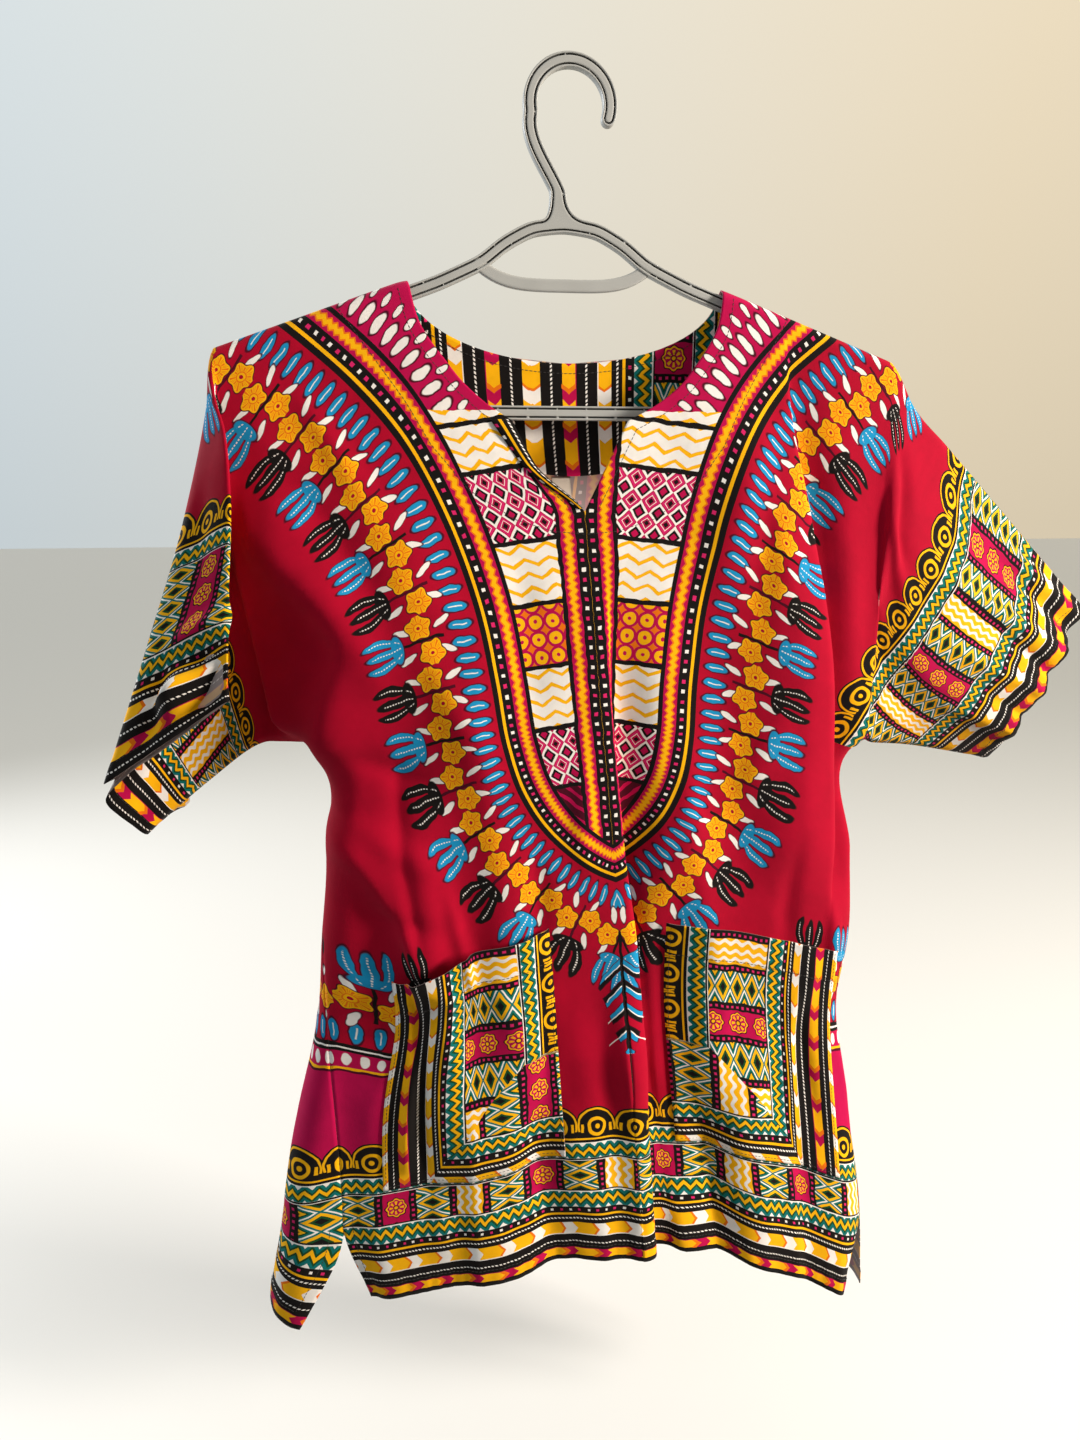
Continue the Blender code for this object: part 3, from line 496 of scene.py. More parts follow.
def drape_back(across, drop):
    """Back: cut point to place.

    Under the armpit the back fills the level's outline from one of the front's side seams to
    the other. Above it, levels ease back to the cut's own width. Under the slit the corners
    swing, most on the left.
    """
    across, drop = np.broadcast_arrays(np.asarray(across, float), np.asarray(drop, float))
    side = np.where(across < 0, -1.0, 1.0)
    u, v = np.abs(across) - HALF_CHEST, drop - SLIT_DROP
    swing = np.where(across < 0, *BACK_SWING)
    swing = swing * smooth(1 + u / SWING_REACH[0]) * smooth(0.5 + v / SWING_REACH[1])
    across = side * (HALF_CHEST + u * np.cos(swing) - v * np.sin(swing))
    drop = np.where(swing > 0, SLIT_DROP + v * np.cos(swing) + u * np.sin(swing), drop)

    low = smooth(drop / ARMPIT_DROP)
    below = np.maximum(drop, ARMPIT_DROP)
    centre, left, right = (level(k, drop) for k in ("centre", "left", "right"))
    low_centre, low_left, low_right = (level(k, below) for k in ("centre", "left", "right"))
    seam = np.abs(front_arc(side * HALF_CHEST, below)[0])
    edge_x = np.where(across < 0, low_left, low_right)
    depth = level("depth", below)
    middle = (low_left + low_right) / 2
    wide = np.abs(edge_x - middle) + np.abs(edge_x - low_centre) + (np.pi - 2) * depth - seam
    arc = (1 - low) * foreshortened(across, drop) + low * across * wide / HALF_CHEST
    hollow = smooth((drop - 0.10) / 0.10) * smooth((ARMPIT_DROP - drop) / 0.03)
    arc = arc * (1 - BACK_HOLLOW * hollow)
    x, y = lie(arc, drop, centre * (1 - low) + low * (left + right) / 2, 1)
    facing = np.clip(y / level("depth", drop), 0, 1)
    y = y + facing * (0.3 * crown(x, drop) + soft_folds(BACK_FOLDS, across, drop))
    lower = 0.05 * np.maximum(swing, 0) * (across < 0)
    return np.stack([x, y, level("height", drop) - sag(x, drop) - lower], -1)


def soft_polyline(t, knots, places, r):
    """Straight runs between places, at the knots of t, with corners of softness r."""
    places = np.asarray(places, float)
    slopes = np.diff(places, axis=0) / np.diff(knots)[:, None]
    out = places[0] + slopes[0] * t[:, None]
    for k in range(1, len(slopes)):
        ramp = softly(t - knots[k], r) - softly(-knots[k], r) * (1 - t)
        out = out + (slopes[k] - slopes[k - 1]) * (ramp - softly(1 - knots[k], r) * t
                                                   + (1 - knots[k]) * t)[:, None]
    return out


def spaced(*stops):
    """Numbers from stop to stop: (first, (next, how many steps), ...)."""
    out = [np.array([stops[0]])]
    for end, count in stops[1:]:
        out.append(np.linspace(out[-1][-1], end, count + 1)[1:])
    return np.concatenate(out)


# Rows of the grid: shares of the armhole line, then drops; and columns along a sleeve. Rows
# meet the foot of the neck's slit and the pockets' mouths.
POCKET = dict(inner=0.056, width=0.146, top=0.440, height=0.180)
SLEEVE_DEPTH = 0.27  # shoulder line to under seam where a sleeve starts
RIDGE_ROW, TURN_ROW = SLIT_TOP_DROP / ARMPIT_DROP, 0.62
UPPER = spaced(0, (0.03, 4), (RIDGE_ROW, 22), (SLIT_FOOT_DROP / ARMPIT_DROP, 16), (TURN_ROW, 6),
               (1, 24))
LOWER = spaced(ARMPIT_DROP, (POCKET["top"], 42), (SLIT_DROP, 54), (HEM_DROP, 18))
ALONG = spaced(0, (0.34, 24), (1, 44))


def edge(share):
    """A round edge's profile: 0 at the edge, 1 from 3 % of the cloth on."""
    return np.sqrt(1 - (1 - np.clip(share / 0.03, 0, 1)) ** 2)


def row_shares(knots):
    """Shares of the cloth for the rows that run into a sleeve: they follow its ridge and turn."""
    return np.interp(UPPER, [0, RIDGE_ROW, TURN_ROW, 1], knots)


def start_shares(side, face):
    """Where the rows that run into a sleeve start, as shares of the armhole line."""
    return row_shares([0, 0.125, 0.30, 1]) if face < 0 and side < 0 else UPPER


def sleeve_section(row, face):
    """One section of a sleeve, from its top edge to its under seam, and each row's share."""
    if face < 0:
        knots = [0, row["share_r"], row["share_t"], 1]
        share = row_shares(knots)
        corners = [row[k] for k in ("top", "ridge", "turn", "under")]
        places = soft_polyline(share, knots, corners, 0.03)
    else:
        share = UPPER
        places = soft_polyline(share, [0, 0.5, 1], [row[k] for k in ("top", "back", "under")], 0.20)
    places[:, 1] += face * EDGE_ROUND * (edge(share) * (1 - share) + edge(1 - share) * share)
    return places, share


def drape_sleeve(side, face):
    """A grid on a sleeve: its places and their cut points, from armhole line to cuff.

    The first section leaves the body along the body's own cloth, so there is no corner.
    """
    drape = drape_front if face < 0 else drape_back
    shares = start_shares(side, face)
    near = HALF_CHEST - 0.05
    inside, start = (drape(side * across, shares * ARMPIT_DROP) for across in (near, HALF_CHEST))
    inside[0], inside[-1] = [(drape_front(side * near, d) + drape_back(side * near, d)) / 2
                             for d in (0.0, ARMPIT_DROP)]
    table = [dict(zip(SLEEVE_COLUMNS, row)) for row in (LEFT_SLEEVE if side < 0 else RIGHT_SLEEVE)]
    sections, drops = zip(*(sleeve_section(row, face) for row in table))
    drops = [share * row["half"] for row, share in zip(table, drops)]
    knots = [0.0] + [row["along"] for row in table]
    places = through(ALONG, [-0.18] + knots, np.array([inside, start, *sections]))
    drop = through(ALONG, knots, np.array([shares * ARMPIT_DROP, *drops]))
    across = side * (HALF_CHEST + SLEEVE * ALONG[:, None]) + 0 * drop
    return places, np.stack([across, drop], -1)


def front_lines(side, drop):
    """Across of each upright grid line of a front half at one drop: closest at the pleats."""
    inner = float(front_neck(drop))
    if side < 0:
        return -spaced(inner, (HALF_CHEST, 84))
    stops, wide = [inner], 2.6 * FOLD_ROUND
    for pleat, before in ((centre_pleat, 2), (armhole_pleat, 42)):
        line, hidden = (float(v) for v in pleat(np.array(drop)))
        stops += [(line - wide, before), (line + hidden + wide, 18)]
    return spaced(*stops, (HALF_CHEST, 9))


def back_lines(side, drop):
    """Across of each upright grid line of a back half at one drop."""
    return side * np.linspace(float(back_neck(drop)), HALF_CHEST, 85)


def panel_half(side, face):
    """Rows of cut points for one half of the front or back, from the shoulder to the hem."""
    lines_at = front_lines if face < 0 else back_lines
    out = []
    for share, outer in zip(UPPER, start_shares(side, face)):
        lines = np.abs(lines_at(side, share * ARMPIT_DROP))
        reach = (lines - lines[0]) / (HALF_CHEST - lines[0])
        drops = (share + (outer - share) * reach) * ARMPIT_DROP
        if outer == share:
            out.append(np.stack([side * lines, drops], -1))
        else:
            out.append(np.array([(lines_at(side, drop)[k], drop) for k, drop in enumerate(drops)]))
    for drop in LOWER[1:]:
        lines = lines_at(side, drop)
        out.append(np.stack([lines, drop + 0 * lines], -1))
    return np.array(out)


def unit(rows):
    """Rows scaled to a length of 1."""
    return rows / np.linalg.norm(rows, axis=-1, keepdims=True)


def normals_of(places, outwards):
    """A grid's normals, on the side that faces outwards."""
    normal = np.cross(np.gradient(places, axis=0), np.gradient(places, axis=1))
    normal /= np.linalg.norm(normal, axis=-1, keepdims=True) + 1e-12
    return normal if (normal * outwards).sum() > 0 else -normal


def on_panel(face, across, drop, distance):
    """Places on a panel, moved out along its normal."""
    drape = drape_front if face < 0 else drape_back
    eps = 0.001
    places = drape(across, drop)
    normal = np.cross(drape(across + eps, drop) - places, drape(across, drop + eps) - places)
    return places + face * unit(normal) * np.asarray(distance)[..., None]


def turned_edge(inset, along):
    """Extra height of a turned and stitched edge: a second layer, and puckers at the stitches."""
    pucker = np.sin(along / 0.0019 + 2.5 * np.sin(along / 0.013))
    pucker = pucker * np.exp(-((inset - 0.009) / 0.009) ** 2)
    return 0.0005 * (1 - smooth((inset - EDGE_TURN) / 0.0015)) + 0.00045 * pucker


def relief(face, across, drop):
    """Folds and creases of a panel, level at its seams."""
    free = smooth((HALF_CHEST - np.abs(across)) / 0.012) * smooth(drop / 0.01)
    ridges, creases = (FRONT_RIDGES, FRONT_CREASES) if face < 0 else (BACK_RIDGES, BACK_CREASES)
    return free * (ridged(ridges, across, drop) + creased(creases, across, drop))


def panel_height(face, across, drop):
    """How far a panel's cloth stands off its drape: folds, creases and the turned hem."""
    return relief(face, across, drop) + turned_edge(HEM_DROP - drop, across)


# The print's places: which place in the border's design lies at a distance in from the edge,
# and the line through the middle of the flower ring round the neck.
HEM_BORDER = np.array([
    # in from the hem, place in the design, both in millimetres
    (0, -3), (2.5, 0), (10, 12), (19, 25), (31, 37), (43, 52), (56, 65), (57.5, 66.5),
    (81.5, 93.5), (83, 95), (95, 108), (97, 110), (130, 143), (800, 813),
]) / 1000
CUFF_BORDER = np.array([(0, -12), (79, 67), (143, 93), (195, 145), (800, 750)]) / 1000
BODY_ROW, CUFF_ROW = 0.013, 0.032  # half the width of the border's panel row
NO_BORDER = 9.0  # farther in from an edge than any border
RIGHT_CUFF = np.array([(.438, -.352), (.362, -.476)])  # x, z of the right cuff's top and foot
CUFF_FULLNESS = 1.04  # length on the cut for each length as the right sleeve hangs
RING = np.array([
    # across, drop
    (0.300, -0.075), (0.262, -0.026), (0.232, 0.012), (0.204, 0.044), (0.176, 0.079),
    (0.151, 0.118), (0.132, 0.162), (0.120, 0.210), (0.115, 0.262), (0.112, 0.310),
    (0.103, 0.350), (0.086, 0.384), (0.062, 0.412), (0.033, 0.434), (0.000, 0.448),
])[::-1]


def run_of(points):
    """How far along a line each of its points is."""
    return np.concatenate([[0], np.cumsum(np.linalg.norm(np.diff(points, axis=0), axis=1))])


def round_the_neck(across, drop):
    """(s, t) of cut points: along the ring's line from the centre front, and out from it.

    Each point takes the nearest of 700 places on the line, then slides along the line's own
    direction there, so both numbers change smoothly.
    """
    knots = run_of(RING)
    s = np.linspace(0, knots[-1], 700)
    line = through(s, knots, RING)
    along = unit(np.gradient(line, s, axis=0))
    points = np.stack([np.abs(across), drop], -1).reshape(-1, 2)
    near = np.concatenate([
        ((chunk[:, None] - line) ** 2).sum(-1).argmin(1) for chunk in np.array_split(points, 40)])
    off = points - line[near]
    out = np.stack([s[near] + (off * along[near]).sum(1),
                    off[:, 1] * along[near, 0] - off[:, 0] * along[near, 1]], -1)
    return out.reshape(np.shape(across) + (2,))


def border_at(table, inset):
    """Place in the border's design at a distance in from the edge."""
    return np.interp(inset, table[:, 0], table[:, 1])


def fields_of(cuts, side, foot, half=BODY_ROW):
    """What the print needs: the cut point, the borders and the place round the neck."""
    across, drop = cuts[..., 0], cuts[..., 1]
    ring = round_the_neck(across, drop)
    none = 0 * across
    return {"cut": np.stack([across, drop, none], -1),
            "border": np.stack([side + none, foot + none, half + none], -1),
            "ring": np.stack([ring[..., 0], ring[..., 1], none], -1)}


def cuff_inset(side, face, places, cuts):
    """How far in from the cuff a place is, for the border.

    It is counted on the cut, but on the right front square to the cuff as it hangs: there the
    border runs on behind the armhole's fold.
    """
    cut = HALF_CHEST + SLEEVE - np.abs(cuts[..., 0])
    if side < 0 or face > 0:
        return cut
    foot = unit(RIGHT_CUFF[1] - RIGHT_CUFF[0])
    square = CUFF_FULLNESS * ((RIGHT_CUFF[0] - places[..., ::2]) @ (-foot[1], foot[0]))
    line, hidden = armhole_pleat(cuts[..., 1])
    square = np.where(cuts[..., 0] > line + hidden / 2, square, NO_BORDER)
    return cut + (square - cut) * smooth(cuts[..., 1] / 0.06)


def panel_patches(face):
    """Front or back panel: for each half, the body's grid and the sleeve's, with their fields."""
    drape, out = (drape_front if face < 0 else drape_back), np.array([0, face, 0])
    patches = []
    for side in (-1, 1):
        cuts = panel_half(side, face)
        lying = cuts.copy()
        lying[:, -1, 0] -= side * SEAM / 2 * (lying[:, -1, 1] > ARMPIT_DROP)
        body = drape(lying[..., 0], lying[..., 1])
        body[0, :, 1] += face * SEAM / 2
        (sleeve, sleeve_cuts), (other, _) = drape_sleeve(side, face), drape_sleeve(side, -face)
        for edge_row, inner in ((0, 1), (-1, -2)):
            apart = sleeve[1:, inner] - other[1:, inner]
            sleeve[1:, edge_row] += unit(apart) * SEAM / 2
        hem = border_at(HEM_BORDER, HEM_DROP - cuts[..., 1])
        inset = cuff_inset(side, face, body[:len(UPPER)], cuts[:len(UPPER)])
        inset = np.concatenate([inset, np.full((len(LOWER) - 1, cuts.shape[1]), NO_BORDER)])
        sleeve_inset = cuff_inset(side, face, sleeve, sleeve_cuts)
        height = panel_height(face, cuts[..., 0], cuts[..., 1])
        body = body + normals_of(body, out) * height[..., None]
        sleeve[0] = body[:len(UPPER), -1]
        across, drop = sleeve_cuts[..., 0], sleeve_cuts[..., 1]
        # the creases fade at the sleeve's seams and at its start; the back has them upside down
        ends = smooth(UPPER / 0.08) * smooth((1 - UPPER) / 0.08) * smooth(ALONG / 0.1)[:, None]
        down = drop if face < 0 else SLEEVE_DEPTH - drop
        height = creased(SLEEVE_CREASES[side], across, down) * ends
        height = height + turned_edge(HALF_CHEST + SLEEVE - np.abs(across), drop)
        sleeve = sleeve + normals_of(sleeve, out) * height[..., None]
        patches += [
            (body, fields_of(cuts, border_at(CUFF_BORDER, inset), hem)),
            (sleeve, fields_of(sleeve_cuts, border_at(CUFF_BORDER, sleeve_inset), NO_BORDER,
                               CUFF_ROW))]
    return patches


def new_object(name, data):
    """An object at the origin, in the scene."""
    made = bpy.data.objects.new(name, data)
    bpy.context.scene.collection.objects.link(made)
    return made


def quads_of(corner):
    """The four-cornered faces of a grid of point numbers."""
    return np.stack([corner[:-1, :-1], corner[:-1, 1:], corner[1:, 1:], corner[1:, :-1]],
                    -1).reshape(-1, 4)


def store(bm, mesh):
    """Turn bm's faces outwards, cut those with many corners in triangles, and keep it in mesh."""
    bmesh.ops.recalc_face_normals(bm, faces=bm.faces)
    bmesh.ops.triangulate(bm, faces=[f for f in bm.faces if len(f.verts) > 4])
    bm.to_mesh(mesh)
    bm.free()


def all_of(items, name, size=1, kind=float):
    """One property of all items, as an array with a row for each."""
    out = np.empty(size * len(items), kind)
    items.foreach_get(name, out)
    return out.reshape(-1, size) if size > 1 else out


def shell(name, patches, outwards, wall=WALL):
    """A piece of cloth as a closed shell, from patches (places, fields).

    Each patch's fields become point attributes in millimetres: "cut" is (across, drop, wrong),
    and wrong is 1 on the side that was the cloth's own inside. Patches join where they touch.
    """
    bm = bmesh.new()
    for places, fields in patches:
        grid = bpy.data.meshes.new(name)
        corner = np.arange(places[..., 0].size).reshape(places.shape[:2])
        grid.from_pydata(places.reshape(-1, 3), [], quads_of(corner).tolist())
        for key, values in fields.items():
            layer = grid.attributes.new(key, "FLOAT_VECTOR", "POINT")
            layer.data.foreach_set("vector", (1000 * values).reshape(-1).astype(np.float32))
        bm.from_mesh(grid)
        bpy.data.meshes.remove(grid)
    bmesh.ops.remove_doubles(bm, verts=bm.verts, dist=0.00005)
    mesh = bpy.data.meshes.new(name)
    store(bm, mesh)
    out = all_of(mesh.polygons, "normal", 3) @ np.array(outwards, float)
    if (out * all_of(mesh.polygons, "area")).sum() < 0:
        mesh.flip_normals()
    piece = new_object(name, mesh)
    thick = piece.modifiers.new("wall", "SOLIDIFY")
    thick.thickness, thick.offset, thick.material_offset = wall, 1, 1
    mesh.materials.append(None)
    mesh.materials.append(None)
    made = bpy.data.meshes.new_from_object(
        piece.evaluated_get(bpy.context.evaluated_depsgraph_get()))
    piece.modifiers.clear()
    piece.data = made
    made.name = name
    bpy.data.meshes.remove(mesh)
    return piece


front_patches, back_patches = panel_patches(-1), panel_patches(1)
front = shell("front_panel", front_patches, (0, -1, 0))
back = shell("back_panel", back_patches, (0, 1, 0))

# The printed cotton is plain-woven and dull, with a soft sheen on the folds. The wrong side shows
# the same print, faded. The print comes from the cut's own places, all in millimetres.
INK = dict(black="#151110", crimson="#AE0428", magenta="#BC0A4A", pink="#DA2467", gold="#FFB70C",
           orange="#EE7410", white="#F6EEE6", turquoise="#1C90C2", teal="#0D6F6C", green="#164A26",
           wine="#4E0A20")
SIDE_PANEL, PANEL_TOP = 158, 503  # the magenta side panels: out from the centre, and down
REPEAT = 59  # the border's panel row repeats after two of these
ROW_MIDDLE, ROW_HALF = 80, 13  # the border's panel row: how far in, and half its width
LOZENGES, ROSETTE = 13.5, 43.5  # the middles of its lozenges and of its blocks
BIB_EDGE = 27  # width of the bands that edge the bib round the neck
RING_HALF = 37  # the ring's middle line lies this far out from the bib
BORDER_SPAN = (-30, 150)  # the border's design, in from the cloth's edge
BORDER_BANDS = [
    # where each band starts, in from the cloth's edge
    (-30, "black"), (-23, "white"), (-14, "black"), (1, "magenta"), (11, "black"), (26, "white"),
    (36, "black"), (43.5, "gold"), (45.3, "black"), (52, "white"), (65, "black"), (66.5, "white"),
    (93.5, "black"), (95, "white"), (108, "black"), (110.4, "gold"), (111.8, "black"),
]
BORDER_TRIM = [
    # from, to: in from the cloth's edge; kind: 0 white cord, 1 flames, 2 square dots
    (-7.3, -5.9, 0), (17.7, 19.1, 0), (39.5, 40.9, 0),
    (-22.6, -14.4, 1), (1.4, 10.6, 1), (26.4, 35.6, 1), (47.8, 49.6, 2),
]
BIB_BANDS = [(0, "black"), (4, "gold"), (6.2, "black"), (14, "magenta"), (24, "black")]
BIB_SPAN = (70, 350)  # the bib's panels, down its side
BIB_PANELS = [(112, 160, 0), (203, 246, 1), (288, 330, 0)]  # from, to; kind: 0 lattice, 1 coins
BIB_BARS = [(79, 83, 0), (111, 114, 0), (159, 162, 0), (202, 205, 0), (245, 248, 0),
            (287, 290, 0), (329, 332, 0)]


def linear(code):
    """An sRGB hex colour as linear RGBA."""
    c = np.array([int(code[k:k + 2], 16) for k in (1, 3, 5)]) / 255
    return (*np.where(c <= 0.04045, c / 12.92, ((c + 0.055) / 1.055) ** 2.4), 1.0)


def add_node(tree, kind, inputs=(), **settings):
    """One node with its settings. inputs: {socket: value or output}, or a list in socket order."""
    node = tree.nodes.new(kind)
    for key, value in settings.items():
        setattr(node, key, value)
    for key, value in (inputs.items() if isinstance(inputs, dict) else enumerate(inputs)):
        if isinstance(value, Field):
            value = value.socket
        if isinstance(value, bpy.types.NodeSocket):
            tree.links.new(value, node.inputs[key])
        elif value is not None:
            node.inputs[key].default_value = value
    return node


class Field:
    """A number that varies over the cloth; arithmetic on fields becomes Math nodes."""

    def __init__(self, socket):
        self.socket = socket

    def math(self, operation, *others, clamp=False):
        node = add_node(self.socket.id_data, "ShaderNodeMath", [self, *others],
                        operation=operation, use_clamp=clamp)
        return Field(node.outputs[0])

    __add__ = partialmethod(math, "ADD")
    __sub__ = partialmethod(math, "SUBTRACT")
    __rsub__ = partialmethod(math, "MULTIPLY_ADD", -1.0)
    __mul__ = partialmethod(math, "MULTIPLY")
    __truediv__ = partialmethod(math, "DIVIDE")
    __abs__ = partialmethod(math, "ABSOLUTE")
    least = partialmethod(math, "MINIMUM")
    most = partialmethod(math, "MAXIMUM")
    over = partialmethod(math, "GREATER_THAN")
    under = partialmethod(math, "LESS_THAN")

    def cell(self, size):
        """Place within cells of this size, from 0 to size."""
        return self.math("FLOORED_MODULO", size)

    def centred(self, size):
        """Place within cells of this size, from the middle of each."""
        return (self + size / 2).math("FLOORED_MODULO", size) - size / 2

    def hypot(self, other):
        return (self * self + other * other).math("SQRT")

    def inked(self, bleed=0.35):
        """Coverage of a shape from the distance to its outline: 1 inside, with a soft edge."""
        return self.math("MULTIPLY_ADD", -1.0 / bleed, 0.5, clamp=True)


def point_field(tree, name):
    """The three numbers of a point attribute."""
    read = add_node(tree, "ShaderNodeAttribute", attribute_name=name)
    split = add_node(tree, "ShaderNodeSeparateXYZ", [read.outputs["Vector"]])
    return [Field(out) for out in split.outputs]


def either(test, yes, no):
    """yes where test is 1, no where it is 0."""
    if isinstance(yes, Field):
        return (yes - no).math("MULTIPLY_ADD", test, no)
    return test.math("MULTIPLY_ADD", yes - no, no)


def print_over(below, coverage, ink):
    """One colour printed over another; each is a name in INK, a colour or a colour output."""
    below, ink = (linear(INK[c]) if isinstance(c, str) else c for c in (below, ink))
    tree = coverage.socket.id_data
    mix = add_node(tree, "ShaderNodeMix", {0: coverage, 6: below, 7: ink}, data_type="RGBA")
    return mix.outputs[2]


def outlined(below, shape, rim, ink, bleed=0.35, rim_ink="wine", where=None):
    """A shape printed with a darker rim round it, from the distance to its outline."""
    for distance, colour in ((shape - rim, rim_ink), (shape, ink)):
        coverage = distance.inked(bleed)
        below = print_over(below, coverage if where is None else coverage * where, colour)
    return below


def bands_node(place, low, high, stops):
    """A Color Ramp of flat bands along a field, from stops of (start, colour)."""
    scaled = place.math("MULTIPLY_ADD", 1 / (high - low), -low / (high - low), clamp=True)
    node = add_node(place.socket.id_data, "ShaderNodeValToRGB", [scaled])
    node.color_ramp.interpolation = "CONSTANT"
    marks = node.color_ramp.elements
    marks.remove(marks[1])
    for k, (start, colour) in enumerate(stops):
        mark = marks.new((start - low) / (high - low)) if k else marks[0]
        mark.color = colour
    return node


def ramp(place, low, high, stops):
    """Bands along a field, from stops of (start, ink or None): the colour and its coverage."""
    node = bands_node(place, low, high, [(start, linear(INK[ink]) if ink else (0, 0, 0, 0))
                                         for start, ink in stops])
    return node.outputs["Color"], Field(node.outputs["Alpha"])


def channels(place, low, high, spans):
    """Three masks along a field, in one ramp: spans are (start, end, channel)."""
    ends = [(low, -1)] + sorted((p, c) for s, e, c in spans for p, c in ((s, c), (e, -1)))
    node = bands_node(place, low, high, [(start, [*(float(channel == k) for k in range(3)), 1])
                                         for start, channel in ends])
    split = add_node(place.socket.id_data, "ShaderNodeSeparateColor", [node.outputs["Color"]])
    return [Field(out) for out in split.outputs]


def wobbled(tree, source, *fields):
    """Fields shifted by up to a millimetre, as hand-cut printing blocks leave them."""
    read = add_node(tree, "ShaderNodeAttribute", attribute_name=source)
    noise = add_node(tree, "ShaderNodeTexNoise", {"Vector": read.outputs["Vector"], "Scale": 0.11,
                                                  "Detail": 1.0}, noise_dimensions="2D")
    split = add_node(tree, "ShaderNodeSeparateColor", [noise.outputs["Color"]])
    return [(Field(out) - 0.5).math("MULTIPLY_ADD", 2.2, field)
            for out, field in zip(split.outputs, fields)]


def ground(tree, u, v):
    """The cloth's ground: crimson, and magenta in a panel at each side below the waist."""
    side = abs(u).over(SIDE_PANEL).math("MULTIPLY", v.over(PANEL_TOP))
    return print_over("crimson", side, "magenta")


def border_print(tree):
    """The border along hem, cuffs and pockets, from point attributes "cut" and "border".

    border is (depth in from the side, depth in from the foot, half the panel row's width).
    """
    u, v, wrong = point_field(tree, "cut")
    side, foot, half = point_field(tree, "border")
    u, v = wobbled(tree, "cut", u, v)
    below = ground(tree, u, v)
    b = side.least(foot)
    a = either(side.under(foot), v, u)
    y = (b - ROW_MIDDLE).math("MULTIPLY", half) / ROW_HALF

    # scalloped band with gold rings, 30 mm from ring to ring
    x = a.centred(30)
    r = x.hypot(b - 121)
    scallop = r.under(16.2).most(b.under(121.5))
    colour = print_over(below, scallop, "black")
    line = (abs(r - 14.2) - 0.75).inked() * b.over(117)
    rings = (abs(r - 6.4) - 1.3).least(r - 2.0).inked()
    comma = (abs(abs(x) - 11.2) - 1.0).most(abs(b - 119.5) - 3.2).inked()
    colour = print_over(colour, line.most(rings).most(comma), "gold")

    # plain bands
    bands, _ = ramp(b, *BORDER_SPAN, BORDER_BANDS)
    colour = print_over(colour, b.under(112.5), bands)

    # white cord lines and rows of square dots
    cords, flames, dots = channels(b, *BORDER_SPAN, BORDER_TRIM)
    twist = b.math("MULTIPLY_ADD", 0.7, a).cell(2.8).under(1.6)
    colour = print_over(colour, cords * twist, "white")
    square = a.cell(7).under(2.0)
    colour = print_over(colour, dots * square, "white")
    colour = print_over(colour, dots * square * a.cell(14).over(7), "pink")

    # flame bands, 25 mm from flame to flame
    tongue = abs(b.math("MULTIPLY_ADD", 1.0, 18.6).centred(24.8))
    flicker = tongue.math("MULTIPLY_ADD", 0.75, a).cell(25)
    heat, warm = ramp(flicker, 0, 25, [(0, "gold"), (14.5, "orange"), (16.5, None)])
    colour = print_over(colour, warm * flames, heat)
    glow = flicker.over(15) * flicker.under(18) * b.over(1) * b.under(11)
    colour = print_over(colour, glow, "orange")

    # zigzag bands on both sides of the panel row
    z = abs(b - ROW_MIDDLE) - 21.5
    q = z - a.math("PINGPONG", 4.2) * 1.15
    teeth, _ = ramp(q, -12, 8, [(-12, "white"), (-9.6, "teal"), (-6.8, "green"), (-4.8, "gold"),
                                (-1.6, "green"), (0.4, "teal"), (3.4, "white")])
    colour = print_over(colour, (abs(z) - 6.3).inked(), teeth)

    # panel row: lozenges, then rosettes or waves in turn, between beaded bars
    along = a.cell(2 * REPEAT)
    seg = along.cell(REPEAT)
    inside = (abs(b - ROW_MIDDLE) - 13.2).inked()
    row = abs(seg - LOZENGES) / 13.5 + abs(y.centred(13)) / 6.5
    lozenge, _ = ramp(row, 0, 2, [
        (0, "black"), (0.32, "green"), (0.56, "gold"), (0.88, "teal"), (1.08, "white"),
        (1.26, "teal"), (1.46, "green"), (1.62, "gold"), (1.86, "black")])
    colour = print_over(colour, inside, "black")
    colour = print_over(colour, inside * (abs(seg - LOZENGES) - 12.8).inked(), lozenge)
    beads = (abs(abs(seg - 43.4) - 13.3) - 1.0).most(abs(y.centred(4.6)) - 1.0).inked()
    colour = print_over(colour, inside * beads, "pink")
    late = along.over(REPEAT)
    wave = (y * 0.62).math("SINE").math("MULTIPLY_ADD", 1.3, seg).cell(6.9)
    waves, _ = ramp(wave, 0, 6.9, [(0, "white"), (2.9, "gold")])
    block = inside * (abs(seg - ROSETTE) - 10.3).inked()
    colour = print_over(colour, block, "magenta")
    x, y = seg - ROSETTE, y.centred(21.6)
    petals = (y.math("ARCTAN2", x) * 8).math("COSINE")
    r = x.hypot(y)
    lobed = r / petals.math("MULTIPLY_ADD", 0.07, 0.93)
    rose, painted = ramp(lobed, 0, 16, [(0, "gold"), (1.4, "wine"), (2.2, None), (7.2, "gold"),
                                        (8.3, "wine"), (9.3, None)])
    colour = print_over(colour, block * painted, rose)
    colour = print_over(colour, block * petals.over(0.1) * r.over(2.6) * r.under(5.8), "gold")
    colour = print_over(colour, block * late, waves)
    return colour, wrong


